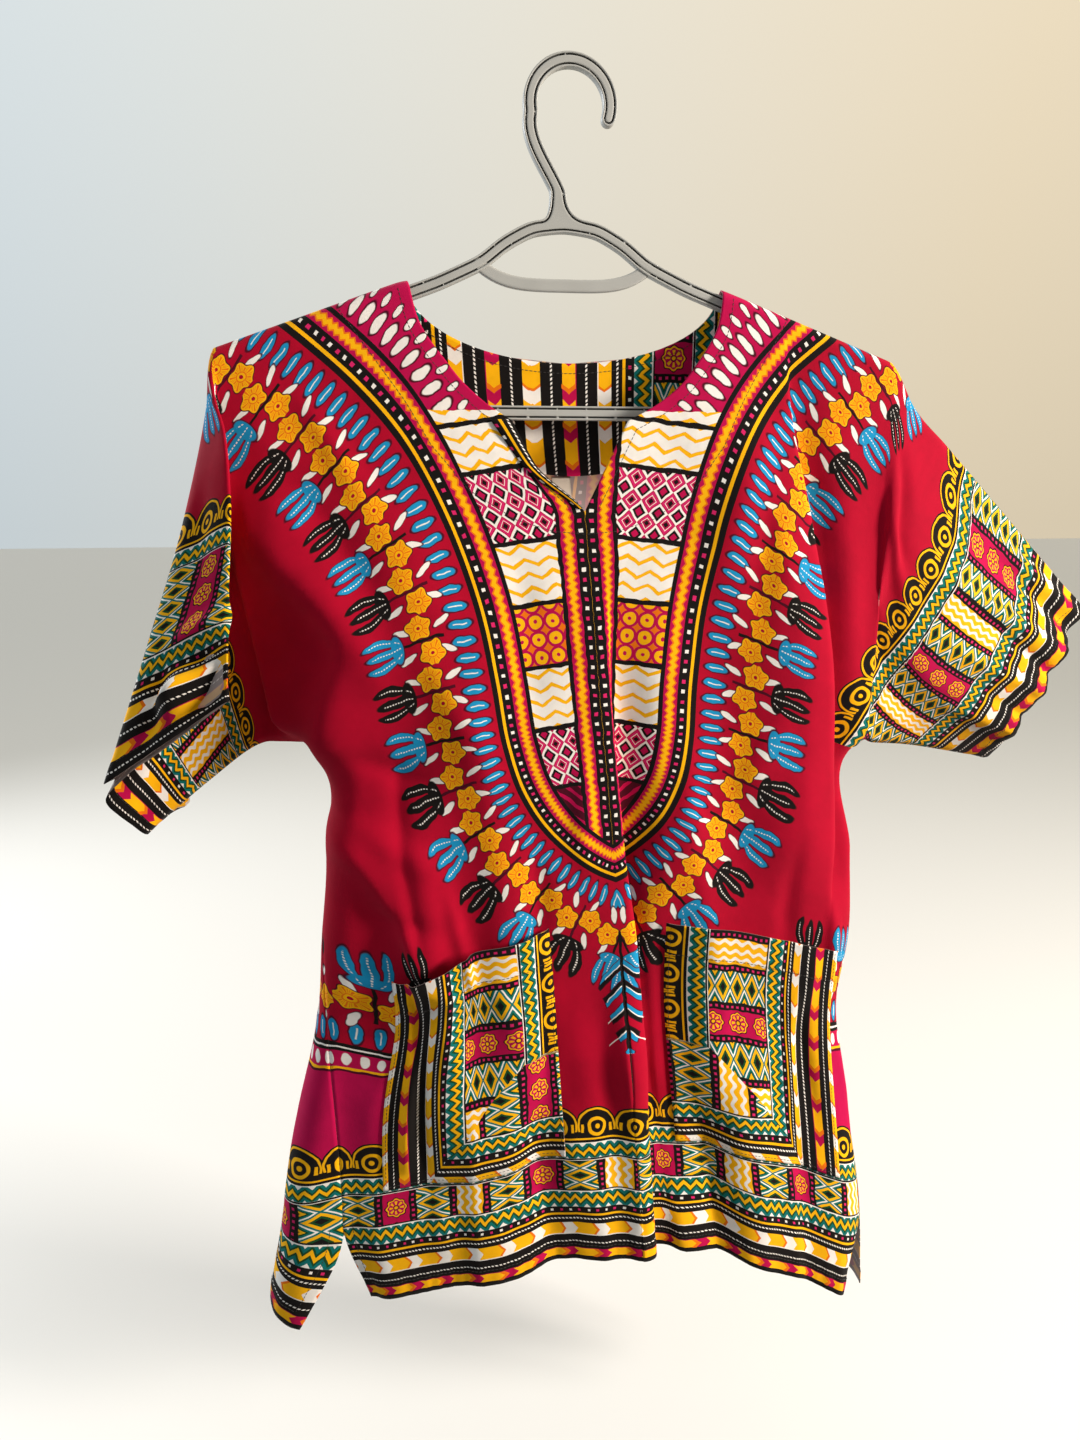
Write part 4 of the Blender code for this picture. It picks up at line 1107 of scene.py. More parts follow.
def sprigs_over(colour, s, out):
    """The ring outside the bib: small leaves, then sprigs of two flowers and a lotus head each.

    s runs along the ring and out across it. Sprigs stand 34 mm apart, turquoise and black in
    turn, and the small leaves 10.6 mm apart.
    """
    x, y = s.centred(10.6), out - 12.5
    leaf = (x / 2.9).hypot(y / 8.2) - 1
    colour = outlined(colour, leaf, 0.24, "turquoise", 0.12)
    colour = print_over(colour, (abs(x) - 0.35).most(abs(y) - 5).inked(), "white")

    turn = (s + 17).cell(68).over(34)
    side = s.centred(34)
    x = abs(side)
    colour = print_over(colour, (x - 1.0).most(abs(out - 44) - 19).inked(),
                        print_over("black", turn, "wine"))
    blade = ((x - 4.4 - abs(out - 37) * 0.34) / 2.1).hypot((abs(out - 38) - 13.5) / 5.8) - 1
    colour = outlined(colour, blade, 0.2, "white", 0.15)
    fx, fy = x - 9.0, out - either(side.over(0), 40.5, 35.0)
    r, petals = fx.hypot(fy), (fy.math("ARCTAN2", fx) * 5).math("COSINE")
    edge = r - petals.math("MULTIPLY_ADD", 1.1, 8.0)
    bloom, _ = ramp(r, 0, 9, [(0, "crimson"), (1.2, "gold"), (2.6, "orange"), (3.4, "gold")])
    colour = outlined(colour, edge, 0.8, bloom)
    veins = petals.math("MULTIPLY_ADD", 0.5, 0.5).centred(0.34)
    colour = print_over(colour, abs(veins).under(0.06) * r.over(3.6) * edge.under(-1.0), "orange")

    y = out - 67
    cup = (x / 3.3).hypot(y / 12.5) - 1
    lean = x - 8.8 - y * 0.20 + (y * y) * 0.017
    arm = (lean / 3.1).hypot((y - 2) / 11.5) - 1
    base = (x / 9.6).hypot((out - 57.5) / 4.2) - 1
    head = cup.least(arm).least(base)
    colour = outlined(colour, head, 0.18, print_over("turquoise", turn, "black"), 0.12,
                      rim_ink=print_over("wine", turn, "black"))
    vein = (abs(x).least(abs(lean)) - 0.4).inked()
    return print_over(colour, vein * (head + 0.3).inked(0.14) * y.cell(2.0).under(1.2), "white")


def bib_print(tree):
    """The bib round the neck and the ring of leaves and flowers outside it.

    From point attributes "cut" and "ring": along the ring's line, and out from it.
    """
    u, v, wrong = point_field(tree, "cut")
    s, t, _ = point_field(tree, "ring")
    u, v, s = wobbled(tree, "cut", u, v, s)
    width = abs(u)

    # at the sides the same sprigs stand in a row above the magenta panel
    low = width.over(160) * v.over(392)
    out = either(low, float(PANEL_TOP) - v, t + RING_HALF)
    s = either(low, width - 8, s)
    colour = sprigs_over(ground(tree, u, v), s, out)

    # the spray under the bib's tip
    y = v - 470
    wing = y - width * 0.95
    frond = (abs(wing.centred(17)) - 4.2).most(width - 19 + abs(y - 20) * 0.35)
    low = abs(y - 22).under(46) * width.under(22) * wing.over(-8)
    colour = outlined(colour, frond, 0.8, print_over("black", wing.cell(34).over(17), "turquoise"),
                      where=low)
    colour = print_over(colour, (abs(wing.centred(17)) - 0.5).most(width - 14).inked() * low,
                        "white")
    colour = print_over(colour, (width - 1.3).inked() * abs(y - 20).under(44), "black")

    # bands at the top of the magenta panels
    rows, _ = ramp(v, 500, 560, [(500, "black"), (PANEL_TOP, "white"), (504.4, "black"),
                                 (507, "magenta"), (519, "gold"), (521, "wine"),
                                 (523, "magenta")])
    colour = print_over(colour, width.over(SIDE_PANEL) * v.over(500), rows)
    petal = (width.centred(9) / 2.4).hypot((v - 513) / 4.6) - 1
    colour = print_over(colour, petal.inked(0.15) * width.over(SIDE_PANEL), "white")

    # bib: bands in from its edge, and the same bands beside the slit
    deep = -RING_HALF - t
    flare = (150.0 - v).most(0.0) * 0.16
    beside = width - flare + 6.2
    outer = deep.under(BIB_EDGE)
    m = either(outer, deep, beside)
    along = either(outer, s, v)
    bands, _ = ramp(m, 0, 32, BIB_BANDS)
    body = print_over("white", m.under(BIB_EDGE), bands)
    row = m.over(8.8) * m.under(11.4) * along.cell(6.6).under(2.5)
    body = print_over(body, row, "white")
    body = print_over(body, row * along.cell(13.2).over(6.6), "pink")
    wave = abs(m - 19 + along.math("PINGPONG", 2.6) * 0.8 - 1.0)
    for half, ink in ((2.9, "orange"), (1.7, "gold")):
        body = print_over(body, (wave - half).inked() * m.over(14) * m.under(24), ink)

    # its panels, in turn down each side: chevrons, then lattice and coins, and a fan at the tip
    drop = v - width * 0.12
    x, y = deep - 52, drop
    chevron = (y + abs(x.centred(17)) * 0.55).cell(9.5)
    cream, painted = ramp(chevron, 0, 9.5, [(0, None), (5.4, "gold"), (8.2, None)])
    fill = print_over("white", painted, cream)
    lattice = abs(x.centred(13)) / 6.5 + abs(y.centred(15)) / 7.5
    rose, _ = ramp(lattice, 0, 2, [
        (0, "black"), (0.28, "magenta"), (0.5, "white"), (0.58, "pink"), (0.86, "magenta"),
        (1.0, "white"), (1.3, "black"), (1.6, "magenta")])
    kinds = channels(drop, *BIB_SPAN, BIB_PANELS)
    fill = print_over(fill, kinds[0], rose)
    r = x.centred(12).hypot(y.centred(12))
    coins, _ = ramp(r, 0, 9, [(0, "magenta"), (1.3, "gold"), (4.5, "magenta"), (6.4, "orange")])
    fill = print_over(fill, kinds[1], coins)
    fill = print_over(fill, channels(drop, *BIB_SPAN, BIB_BARS)[0], "black")
    fan = drop.over(332)
    fill = print_over(fill, fan, "wine")
    tip = abs((drop + width * 0.9).centred(9)).under(1.6)
    fill = print_over(fill, fan * tip, "magenta")

    # the yoke above them: white petals in two rows on magenta
    first = v.under(82)
    petal = (s.centred(9.5) / 2.5).hypot((deep - 37) / 7) - 1
    small = ((s + 4.75).centred(9.5) / 1.7).hypot((deep - 50) / 4.4) - 1
    fill = print_over(fill, first, "magenta")
    fill = outlined(fill, petal.least(small), 0.3, "white", 0.15, where=first)
    body = print_over(body, m.over(BIB_EDGE), fill)
    return print_over(colour, deep.over(0), body), wrong


def new_material(name):
    """A material with its node tree and its shader."""
    mat = bpy.data.materials.new(name)
    mat.use_nodes = True
    return mat, mat.node_tree, mat.node_tree.nodes["Principled BSDF"]


def toned(tree, colour, noise, low, spread):
    """A colour made lighter and darker by a noise: by low at 0, and by low + spread at 1."""
    tone = Field(noise.outputs["Fac"]).math("MULTIPLY_ADD", spread, low)
    return add_node(tree, "ShaderNodeVectorMath", [colour, None, None, tone],
                    operation="SCALE").outputs[0]


def finish(tree, shader, colour, height, strength, distance, **sockets):
    """Join a colour and a height to the shader, and set its other sockets."""
    tree.links.new(colour, shader.inputs["Base Color"])
    bump = add_node(tree, "ShaderNodeBump",
                    {"Strength": strength, "Distance": distance, "Height": height})
    tree.links.new(bump.outputs[0], shader.inputs["Normal"])
    for name, value in sockets.items():
        shader.inputs[name.replace("_", " ")].default_value = value


def cotton(name, pattern):
    """Printed cotton: the pattern, the ink's slight unevenness, a plain weave and a soft sheen."""
    mat, tree, shader = new_material(name)
    colour, wrong = pattern(tree)
    place = add_node(tree, "ShaderNodeAttribute", attribute_name="cut").outputs["Vector"]
    cloudy, slub, rumple = (
        add_node(tree, "ShaderNodeTexNoise", {"Vector": place, "Scale": scale, "Detail": detail,
                                              "Roughness": rough})
        for scale, detail, rough in ((0.035, 5.0, 0.65), (0.6, 3.0, 0.5), (0.04, 2.0, 0.5)))
    colour = toned(tree, colour, cloudy, 0.75, 0.5)
    colour = print_over(colour, wrong.math("MULTIPLY", 0.62), linear("#C4B2AE"))
    # threads are 0.35 mm apart; the weave is drawn at 0.9 mm so that it shows
    u, v, _ = point_field(tree, "cut")
    weave = (u * 7.0).math("SINE") * (v * 7.0).math("SINE")
    height = (weave.math("MULTIPLY_ADD", 0.5, slub.outputs["Fac"])
              + Field(rumple.outputs["Fac"]) * 7.0)
    finish(tree, shader, colour, height, 0.25, 0.0004, Roughness=0.85, Specular_IOR_Level=0.08,
           Sheen_Weight=0.03, Sheen_Roughness=0.5)
    return mat


bib_cotton = cotton("wax_print_cotton_neck", bib_print)
border_cotton = cotton("wax_print_cotton_border", border_print)


def laid_flat(mesh, cut, inner):
    """UVs for a panel as it is cut: the body, its two sleeves beside it, the wrong side small."""
    sizes = all_of(mesh.polygons, "loop_total", kind=np.int32)
    place = cut[all_of(mesh.loops, "vertex_index", kind=np.int32)]
    middle = np.add.reduceat(place[:, 0], np.cumsum(sizes) - sizes) / sizes
    inner, middle = np.repeat(inner, sizes), np.repeat(middle, sizes)
    flat = np.stack([place[:, 0] + 0.240, place[:, 1] + 0.015], -1)
    for side, foot in ((-1, 0.010), (1, 0.300)):
        on_sleeve = (side * middle > HALF_CHEST + 0.0005)[:, None]
        beside = np.stack([side * place[:, 0] - HALF_CHEST + 0.490, place[:, 1] + foot], -1)
        flat = np.where(on_sleeve, beside, flat)
    flat = np.where(inner[:, None], 0.185 * place + 0.600, flat) / 0.80
    layer = mesh.uv_layers.new(name="OFBake")
    layer.data.foreach_set("uv", flat.reshape(-1).astype(np.float32))


def dressed(piece, outwards, *materials):
    """Mark the wrong side in "cut" and set the materials.

    A piece with two has the second one near an edge, where the border is, and gets its UVs.
    """
    mesh = piece.data
    layer = all_of(mesh.polygons, "material_index", kind=np.int32)
    starts = all_of(mesh.polygons, "loop_start", kind=np.int32)
    corners = all_of(mesh.loops, "vertex_index", kind=np.int32)
    out = all_of(mesh.polygons, "normal", 3) @ np.array(outwards, float)
    out = out * all_of(mesh.polygons, "area")
    inner = layer == (0 if out[layer == 0].sum() < 0 else 1)
    cut, border = (all_of(mesh.attributes[name].data, "vector", 3, np.float32)
                   for name in ("cut", "border"))
    cut[corners[np.repeat(inner, np.diff(np.append(starts, len(corners))))], 2] = 1.0
    mesh.attributes["cut"].data.foreach_set("vector", cut.reshape(-1))
    mesh.materials.clear()
    for mat in materials:
        mesh.materials.append(mat)
    slots = np.zeros(len(layer), np.int32)
    if len(materials) > 1:
        nearest = np.minimum.reduceat(border[corners, :2].min(1), starts)
        slots[nearest < BORDER_SPAN[1]] = 1
        laid_flat(mesh, cut[:, :2] / 1000, inner)
    mesh.polygons.foreach_set("material_index", slots)
    mesh.shade_smooth()


for piece, node, outwards in ((front, "front", (0, -1, 0)), (back, "back", (0, 1, 0))):
    dressed(piece, outwards, bib_cotton, border_cotton)
    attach(piece, "root")
    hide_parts(node)

# ==== pockets ================================================================================
# Two patch pockets of the same cloth, sewn down on both sides and at the foot. Their edges are
# pressed under, and the top is a double hem. The mouth stands open, most at the left.
POCKET_OUTER = POCKET["inner"] + POCKET["width"]
POCKET_FOOT = POCKET["top"] + POCKET["height"]
POCKET_HEM = 0.024
POCKET_OPENS = {-1: 0.014, 1: 0.010}  # how far the mouth stands open
POCKET_ROW = 0.0245  # half the width of the border's panel row on a pocket
PRESSED = 0.008  # seam allowance pressed under
POCKET_CREASES = {-1: [
    (-.182, .500, -.172, .640, .008, .0060),
    (-.150, .430, -.140, .560, .009, .0050),
    (-.190, .440, -.120, .480, .007, .0034),
    (-.100, .450, -.085, .560, .009, .0026),
], 1: [
    (.196, .440, .150, .520, .009, .0030),
    (.168, .470, .164, .640, .009, .0034),
    (.075, .450, .080, .600, .009, .0024),
    (.120, .480, .130, .640, .010, .0026),
]}
# The pockets are cut from a corner of the border, so its bands turn at their outer foot. Both
# tables: in from the edge, place in the design, in millimetres.
POCKET_SIDE_BORDER = np.array([
    (0, -19), (5, -13), (12, 0), (22, 12), (34, 25), (42, 37), (52, 52), (65, 65), (67, 67),
    (116, 93), (118, 95), (130, 108), (132, 110), (150, 128),
]) / 1000
POCKET_FOOT_BORDER = np.array([
    (0, 31), (6, 37), (20, 52), (32, 65), (34, 67), (83, 93), (86, 130), (200, 300),
]) / 1000


def laid_on(name, face, across, drop, away, side, foot=NO_BORDER, half=BODY_ROW, wall=WALL):
    """A smaller piece laid on a panel at a distance from it, with its border's places."""
    fields = fields_of(np.stack([across, drop], -1), side, foot, half)
    return shell(name, [(on_panel(face, across, drop, away), fields)], (0, -1, 0), wall)


def pocket_height(side, across, drop):
    """How far a pocket stands off the front's own cloth."""
    s = (np.abs(across) - POCKET["inner"]) / POCKET["width"]
    t = (drop - POCKET["top"]) / POCKET["height"]
    room = np.sqrt(np.clip(4 * s * (1 - s), 0, 1)) * np.clip(1 - t, 0, 1) ** 1.3
    inset = np.minimum(np.minimum(s, 1 - s) * POCKET["width"], (1 - t) * POCKET["height"])
    pressed = 0.0004 * (1 - smooth((inset - PRESSED) / 0.002))
    hem = 0.0005 * (1 - smooth((t * POCKET["height"] - POCKET_HEM) / 0.002))
    sewn = 0.0003 * np.exp(-((inset - 0.002) / 0.0012) ** 2)
    creases = creased(POCKET_CREASES[side], across, drop) * smooth(inset / 0.02)
    loose = softly(POCKET_OPENS[side] * room + creases, 0.0006)
    return WALL + 0.0002 + loose + pressed + hem - sewn + relief(-1, across, drop)


pockets = []
for name, side in (("pocket_patch_left", -1), ("pocket_patch_right", 1)):
    across, drop = np.meshgrid(
        side * np.linspace(0, 1, 74) * POCKET["width"] + side * POCKET["inner"],
        np.linspace(0, 1, 90) * POCKET["height"] + POCKET["top"])
    pockets.append(laid_on(
        name, -1, across, drop, pocket_height(side, across, drop),
        border_at(POCKET_SIDE_BORDER, POCKET_OUTER - np.abs(across)),
        border_at(POCKET_FOOT_BORDER, POCKET_FOOT - drop), POCKET_ROW))
for piece, node in zip(pockets, ("pocket_left", "pocket_right")):
    dressed(piece, (0, -1, 0), border_cotton)
    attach(piece, "root")
    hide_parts(node)

# ==== facings ================================================================================
# The neck is finished with shaped facings cut from the black, striped edge of the cloth. One is
# sewn inside the back neck. The front one's edge turns out along the left of the slit.
BACK_FACING = dict(half=0.140, drop=0.122)
SLIT_FACING_WIDTH = 0.016

turn, t = np.meshgrid(np.linspace(0.13, np.pi - 0.13, 90), np.linspace(0, 1, 26), indexing="ij")
across = (NECK_HALF + (BACK_FACING["half"] - NECK_HALF) * t) * np.cos(turn)
drop = (BACK_NECK_DROP + (BACK_FACING["drop"] - BACK_NECK_DROP) * t) * np.sin(turn)
curl = 0.0006 * smooth((t - 0.6) / 0.4)
wavy = 0.0005 * np.sin(9 * turn) * smooth((t - 0.5) / 0.4)
back_facing = laid_on("neck_facing_inside_back", 1, across, drop, -2 * SEAM - curl - wavy,
                      np.abs(across + 0.025) - 0.020)

t, s = np.meshgrid(np.linspace(0, 1, 12), np.linspace(0.0, 0.97, 40))
drop = SLIT_TOP_DROP + (SLIT_FOOT_DROP - SLIT_TOP_DROP) * s
across = -front_neck(drop) - SEAM - (SLIT_FACING_WIDTH * (1 - s) + 0.002) * t
lifted = WALL + SEAM + 0.0012 * np.sin(np.pi * t) + 0.0006 * np.sin(14 * s) * t
slit_facing = laid_on("neck_facing_turned_out", -1, across, drop, lifted, 0.0375 + 0.013 * t)

for piece, node in ((back_facing, "neck_facing_back"), (slit_facing, "neck_facing_front")):
    dressed(piece, (0, -1, 0), border_cotton)
    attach(piece, "root")
    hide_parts(node)

# ==== label ==================================================================================
# A small blank label of cream polyester, satin-woven, folded once and caught under the back
# facing's foot. It has 12 threads to the millimetre; its ribs are drawn 0.5 mm apart.
LABEL = dict(middle=-0.008, width=0.014, height=0.016, wall=0.0005)

u, v = np.meshgrid(np.linspace(-0.5, 0.5, 15), np.linspace(0, 1, 17))
across = LABEL["middle"] + LABEL["width"] * u
drop = BACK_FACING["drop"] + 0.0008 + LABEL["height"] * v
curl = -SEAM - 0.0006 * v**2 - 0.0003 * np.sin(5 * u)
label = laid_on("blank_label", 1, across, drop, curl, NO_BORDER, wall=LABEL["wall"])

woven, tree, shader = new_material("satin_woven_label")
rib = (point_field(tree, "cut")[1] * 12.6).math("SINE")
place = add_node(tree, "ShaderNodeTexCoord").outputs["Object"]
yarn = add_node(tree, "ShaderNodeTexNoise", {"Vector": place, "Scale": 2500.0, "Detail": 3.0})
colour = toned(tree, linear("#E6D8C3")[:3], yarn, 0.85, 0.3)
finish(tree, shader, colour, rib, 0.4, 0.0001, Roughness=0.55, Sheen_Weight=0.1)
dressed(label, (0, -1, 0), woven)
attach(label, "root")
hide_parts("label")

# ==== hanger =================================================================================
# One moulding of grey polypropylene. Its flat bands have a web between two rims, with a deep
# groove along each, and small ribs across the bar's grooves. The accessory sling is plain.
HOOK_RADIUS = 0.026
HOOK_CENTRE = np.array([0.004, -0.0215])
HOOK_TURN = (192, -18)  # degrees, from the stem over the top to the tip
BAND = 0.009
BAND_DEPTH = 0.006
STEM = np.array([(0, -0.0880), (-0.0010, -0.0680), (-0.0055, -0.0480)])  # from foot to hook
STEM_FOOT = -0.0745  # the soft corners from the stem to the arms start at this height
STEM_HALF = 0.0135  # and end this far out
FILLET = 0.0022  # height of their control points over the arms
RIBS = dict(arms=0.052, bar=0.020, sling=1.0)  # pitch; the sling is shorter than its own
ARM_START = (0.083, -0.1312)
ARM_END = (0.2130, -0.1782)
ARM = [(0.0, -0.0932), (0.022, -0.0960), (0.040, -0.1060), (0.054, -0.1180), ARM_START, ARM_END]
BAR_END = (ARM_END[0] + 0.0030, ARM_END[1] - 0.0085)
BAR_HEIGHT = -0.2110
SLING = dict(half=0.056, foot=-0.1310, rise=0.0120, band=0.0080, depth=0.004)
GROOVED = np.array([
    # in from the outline, out from the middle plane: share of half the depth; 1 in the groove,
    # where shade is painted dark
    (0.00000, 0.00, 0), (0.00000, 0.84, 0), (0.00015, 0.95, 0), (0.00045, 1.00, 0),
    (0.00085, 1.00, 0), (0.00115, 0.94, 0), (0.00125, 0.25, 1), (0.00235, 0.25, 1),
    (0.00245, 0.90, 0), (0.00300, 0.97, 0), (0.00350, 0.97, 0),
])
PLAIN = np.array([
    (0.00000, 0.00, 0), (0.00000, 0.55, 0), (0.00030, 0.82, 0), (0.00080, 0.96, 0),
    (0.00150, 1.00, 0), (0.00220, 1.00, 0),
])


def rounded_path(corners, count, softness):
    """A path through corners with soft bends."""
    knots = run_of(corners)
    return soft_polyline(np.linspace(0, 1, count), knots / knots[-1], corners, softness)


def sides_of(path, width):
    """The two edges of a band along a path: to the left of its direction, and to the right."""
    tangent = unit(np.gradient(path, axis=0))
    left = np.stack([-tangent[:, 1], tangent[:, 0]], 1) * width / 2
    return path + left, path - left


def cap(a, b):
    """A half circle from a to b, bulging to the right of the way from a to b."""
    middle, out = (a + b) / 2, (b - a)[::-1] * (1, -1) / 2
    turns = np.linspace(0, np.pi, 14)[1:-1, None]
    return middle + (a - middle) * np.cos(turns) + out * np.sin(turns)


def fillet(a, corner, b):
    """A soft inside corner: a quadratic curve from a to b."""
    t = np.linspace(0, 1, 12)[1:-1, None]
    return (1 - t) ** 2 * a + 2 * t * (1 - t) * corner + t * t * b


def band_outline(path, width):
    """The outline of a band with round ends, along a path."""
    top, foot = sides_of(path, width)
    return np.concatenate([foot, cap(foot[-1], top[-1]), top[::-1], cap(top[0], foot[0])])


def moulded(name, outline, depth, profile, rib_pitch, upright=False):
    """A flat moulding: rings at the profile's distances inside an outline, then a flat web.

    The outline runs anticlockwise as (x, z). It is first made even, 1 mm from point to point.
    Small ribs cross the grooves every rib_pitch, counted along the outline or along x.
    """
    closed = np.concatenate([outline, outline[:1]])
    run = run_of(closed)
    even = np.linspace(0, run[-1], int(run[-1] / 0.001) + 1)[:-1]
    path = np.stack([np.interp(even, run, closed[:, k]) for k in (0, 1)], 1)
    for _ in range(3):
        path = (np.roll(path, 1, 0) + 2 * path + np.roll(path, -1, 0)) / 4
    tangent = unit(np.roll(path, -1, 0) - np.roll(path, 1, 0))
    inward = np.stack([-tangent[:, 1], tangent[:, 0]], 1)
    inset, out, dark = np.concatenate([profile[::-1], profile[1:] * (1, -1, 1)]).T[..., None]
    flat = path[None] + inward[None] * inset[..., None]
    crossed = ((path[:, 0] if upright else even) + 0.3 * rib_pitch) % rib_pitch < 0.0012
    rib = crossed[None] & (dark == 1)
    y = -np.where(rib, np.sign(out) * 0.85, out) * depth / 2
    places = np.stack([flat[..., 0], y, flat[..., 1]], -1)
    corner = np.arange(y.size).reshape(y.shape)
    faces = quads_of(np.concatenate([corner, corner[:, :1]], 1)).tolist()
    faces += [corner[0][::-1].tolist(), corner[-1].tolist()]
    mesh = bpy.data.meshes.new(name)
    mesh.from_pydata(places.reshape(-1, 3), [], faces)
    # the groove floors, where the moulding's material paints shade
    groove = mesh.attributes.new("groove", "FLOAT", "POINT")
    groove.data.foreach_set("value", ((dark == 1) & ~rib).reshape(-1).astype(np.float32))
    bm = bmesh.new()
    bm.from_mesh(mesh)
    store(bm, mesh)
    mesh.shade_smooth()
    mesh.set_sharp_from_angle(angle=np.radians(35))
    return new_object(name, mesh)


turn = np.radians(np.linspace(*HOOK_TURN, 60))[:, None]
loop = HOOK_CENTRE + HOOK_RADIUS * np.concatenate([np.cos(turn), np.sin(turn)], 1)
t = np.linspace(0, 1, 30)[:-1, None]
bend = STEM[2] + (loop[0, 0], 0)
stem = (1 - t) ** 3 * STEM[0] + 3 * t * (1 - t) ** 2 * STEM[1] + 3 * t * t * (1 - t) * bend
stem = stem + t**3 * loop[0]
hook_left, hook_right = (side[side[:, 1] > STEM_FOOT]
                         for side in sides_of(np.concatenate([stem, loop]), BAND))
yoke_path = rounded_path([(-x, z) for x, z in ARM[::-1]] + ARM[1:], 241, 0.012)
yoke_top, yoke_foot = sides_of(yoke_path, BAND)
left_top, right_top = (yoke_top[side * yoke_top[:, 0] > STEM_HALF] for side in (-1, 1))
outline = np.concatenate([
    yoke_foot, cap(yoke_foot[-1], yoke_top[-1]), right_top[::-1],
    fillet(right_top[0], np.array([hook_right[0, 0], right_top[0, 1] + FILLET]), hook_right[0]),
    hook_right, cap(hook_right[-1], hook_left[-1]), hook_left[::-1],
    fillet(hook_left[0], np.array([hook_left[0, 0], left_top[-1, 1] + FILLET]), left_top[-1]),
    left_top[::-1], cap(yoke_top[0], yoke_foot[0]),
])
hanger_body = moulded("hanger_hook_and_arms", outline, BAND_DEPTH, GROOVED, RIBS["arms"])

end_x, end_z = BAR_END
bar_path = rounded_path([(-end_x, end_z), (-end_x + 0.001, BAR_HEIGHT),
                         (end_x - 0.001, BAR_HEIGHT), (end_x, end_z)], 181, 0.02)
hanger_bar = moulded("hanger_trouser_bar", band_outline(bar_path, BAND), BAND_DEPTH, GROOVED,
                     RIBS["bar"], upright=True)

t = np.linspace(-1, 1, 61)
sling_path = np.stack([SLING["half"] * t, SLING["foot"] + SLING["rise"] * t**4], 1)
hanger_sling = moulded("hanger_accessory_sling", band_outline(sling_path, SLING["band"]),
                       SLING["depth"], PLAIN, RIBS["sling"])

# a fine pebble, scuffs that catch the light, and shade painted dark into the grooves
moulding, tree, shader = new_material("grey_polypropylene")
place = add_node(tree, "ShaderNodeTexCoord").outputs["Object"]
flow = add_node(tree, "ShaderNodeTexNoise", {"Vector": place, "Scale": 30.0, "Detail": 4.0})
pebble = add_node(tree, "ShaderNodeTexNoise", {"Vector": place, "Scale": 2200.0, "Detail": 2.0})
groove = Field(add_node(tree, "ShaderNodeAttribute", attribute_name="groove").outputs["Fac"])
# painted shade: the groove floors are coloured dark grey (#4A4A47) in place of the shade that deep
# grooves hold
painted_groove_shade = groove.math("MULTIPLY_ADD", 3.0, -1.0, clamp=True)
colour = print_over(toned(tree, linear("#B2B1AC")[:3], flow, 0.89, 0.22), painted_groove_shade,
                    linear("#4A4A47"))
rough = Field(flow.outputs["Fac"]).math("MULTIPLY_ADD", 0.25, 0.28)
tree.links.new(rough.socket, shader.inputs["Roughness"])
finish(tree, shader, colour, pebble.outputs["Fac"], 0.15, 0.0001)
for piece, nodes in ((hanger_body, ["hanger_hook", "hanger_yoke"]),
                     (hanger_bar, ["hanger_bar"]), (hanger_sling, ["hanger_sling"])):
    piece.data.materials.append(moulding)
    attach(piece, "root")
    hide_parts(*nodes)

# ==== topstitching ===========================================================================
# Two-ply black cotton thread, 3 mm to the stitch. It holds the facings, the turned hems, cuffs
# and slits, and the pockets.
STITCH = dict(pitch=0.0030, length=0.0024, width=0.00050)
# from an edge in to its stitches: the front neck, a side slit, a pocket
NECK_INSET, SLIT_INSET, POCKET_INSET = 0.0075, 0.008, 0.0025
FACING_EDGE = np.array([
    # across, drop: the foot of the front facing, sewn through
    (.152, .004), (.129, .045), (.112, .075), (.098, .103), (.076, .132), (.047, .152),
    (.022, .160), (.0, .162),
])


def above(face, across, drop, distance):
    """A line just off a panel: its places, and the cloth's normals there."""
    places = on_panel(face, across, drop, distance)
    return places, (on_panel(face, across, drop, distance + 0.001) - places) * 1000


def above_panel(face, across, drop):
    """A line on the right side of a panel's own cloth."""
    return above(face, across, drop, panel_height(face, across, drop) + WALL)


def stitched(places, normals):
    """The stitches along a line: for each, rings of four corners at its ends and its middle."""
    run = run_of(places)
    starts = np.arange(0.001, run[-1] - STITCH["length"], STITCH["pitch"])[:, None]
    t = starts + STITCH["length"] * np.array([0, 0.5, 1])
    middle, up = (np.stack([np.interp(t, run, column) for column in rows.T], -1)
                  for rows in (places, normals))
    along, up = unit(middle[:, 2:] - middle[:, :1]), unit(up)
    beside = np.cross(along, up)
    half = STITCH["width"] / 2 * np.array([0.4, 1.0, 0.4])[:, None, None]
    turn = np.pi / 4 + np.pi / 2 * np.arange(4)[:, None]
    out = np.cos(turn) * beside[:, :, None] + 0.6 * np.sin(turn) * up[:, :, None]
    return (middle[:, :, None] + half * np.sqrt(2) * out).reshape(-1, 12, 3)


def neck_offset(distance):
    """The front neck's edge moved out by a distance: from the shoulder to the foot of the slit."""
    drop = np.linspace(0.002, SLIT_FOOT_DROP, 160)
    line = np.stack([front_neck(drop), drop], 1)
    way = unit(np.gradient(line, axis=0))
    moved = line + distance * np.stack([way[:, 1], -way[:, 0]], 1)
    return np.stack([np.clip(moved[:, 0], 0, None), moved[:, 1]], 1)


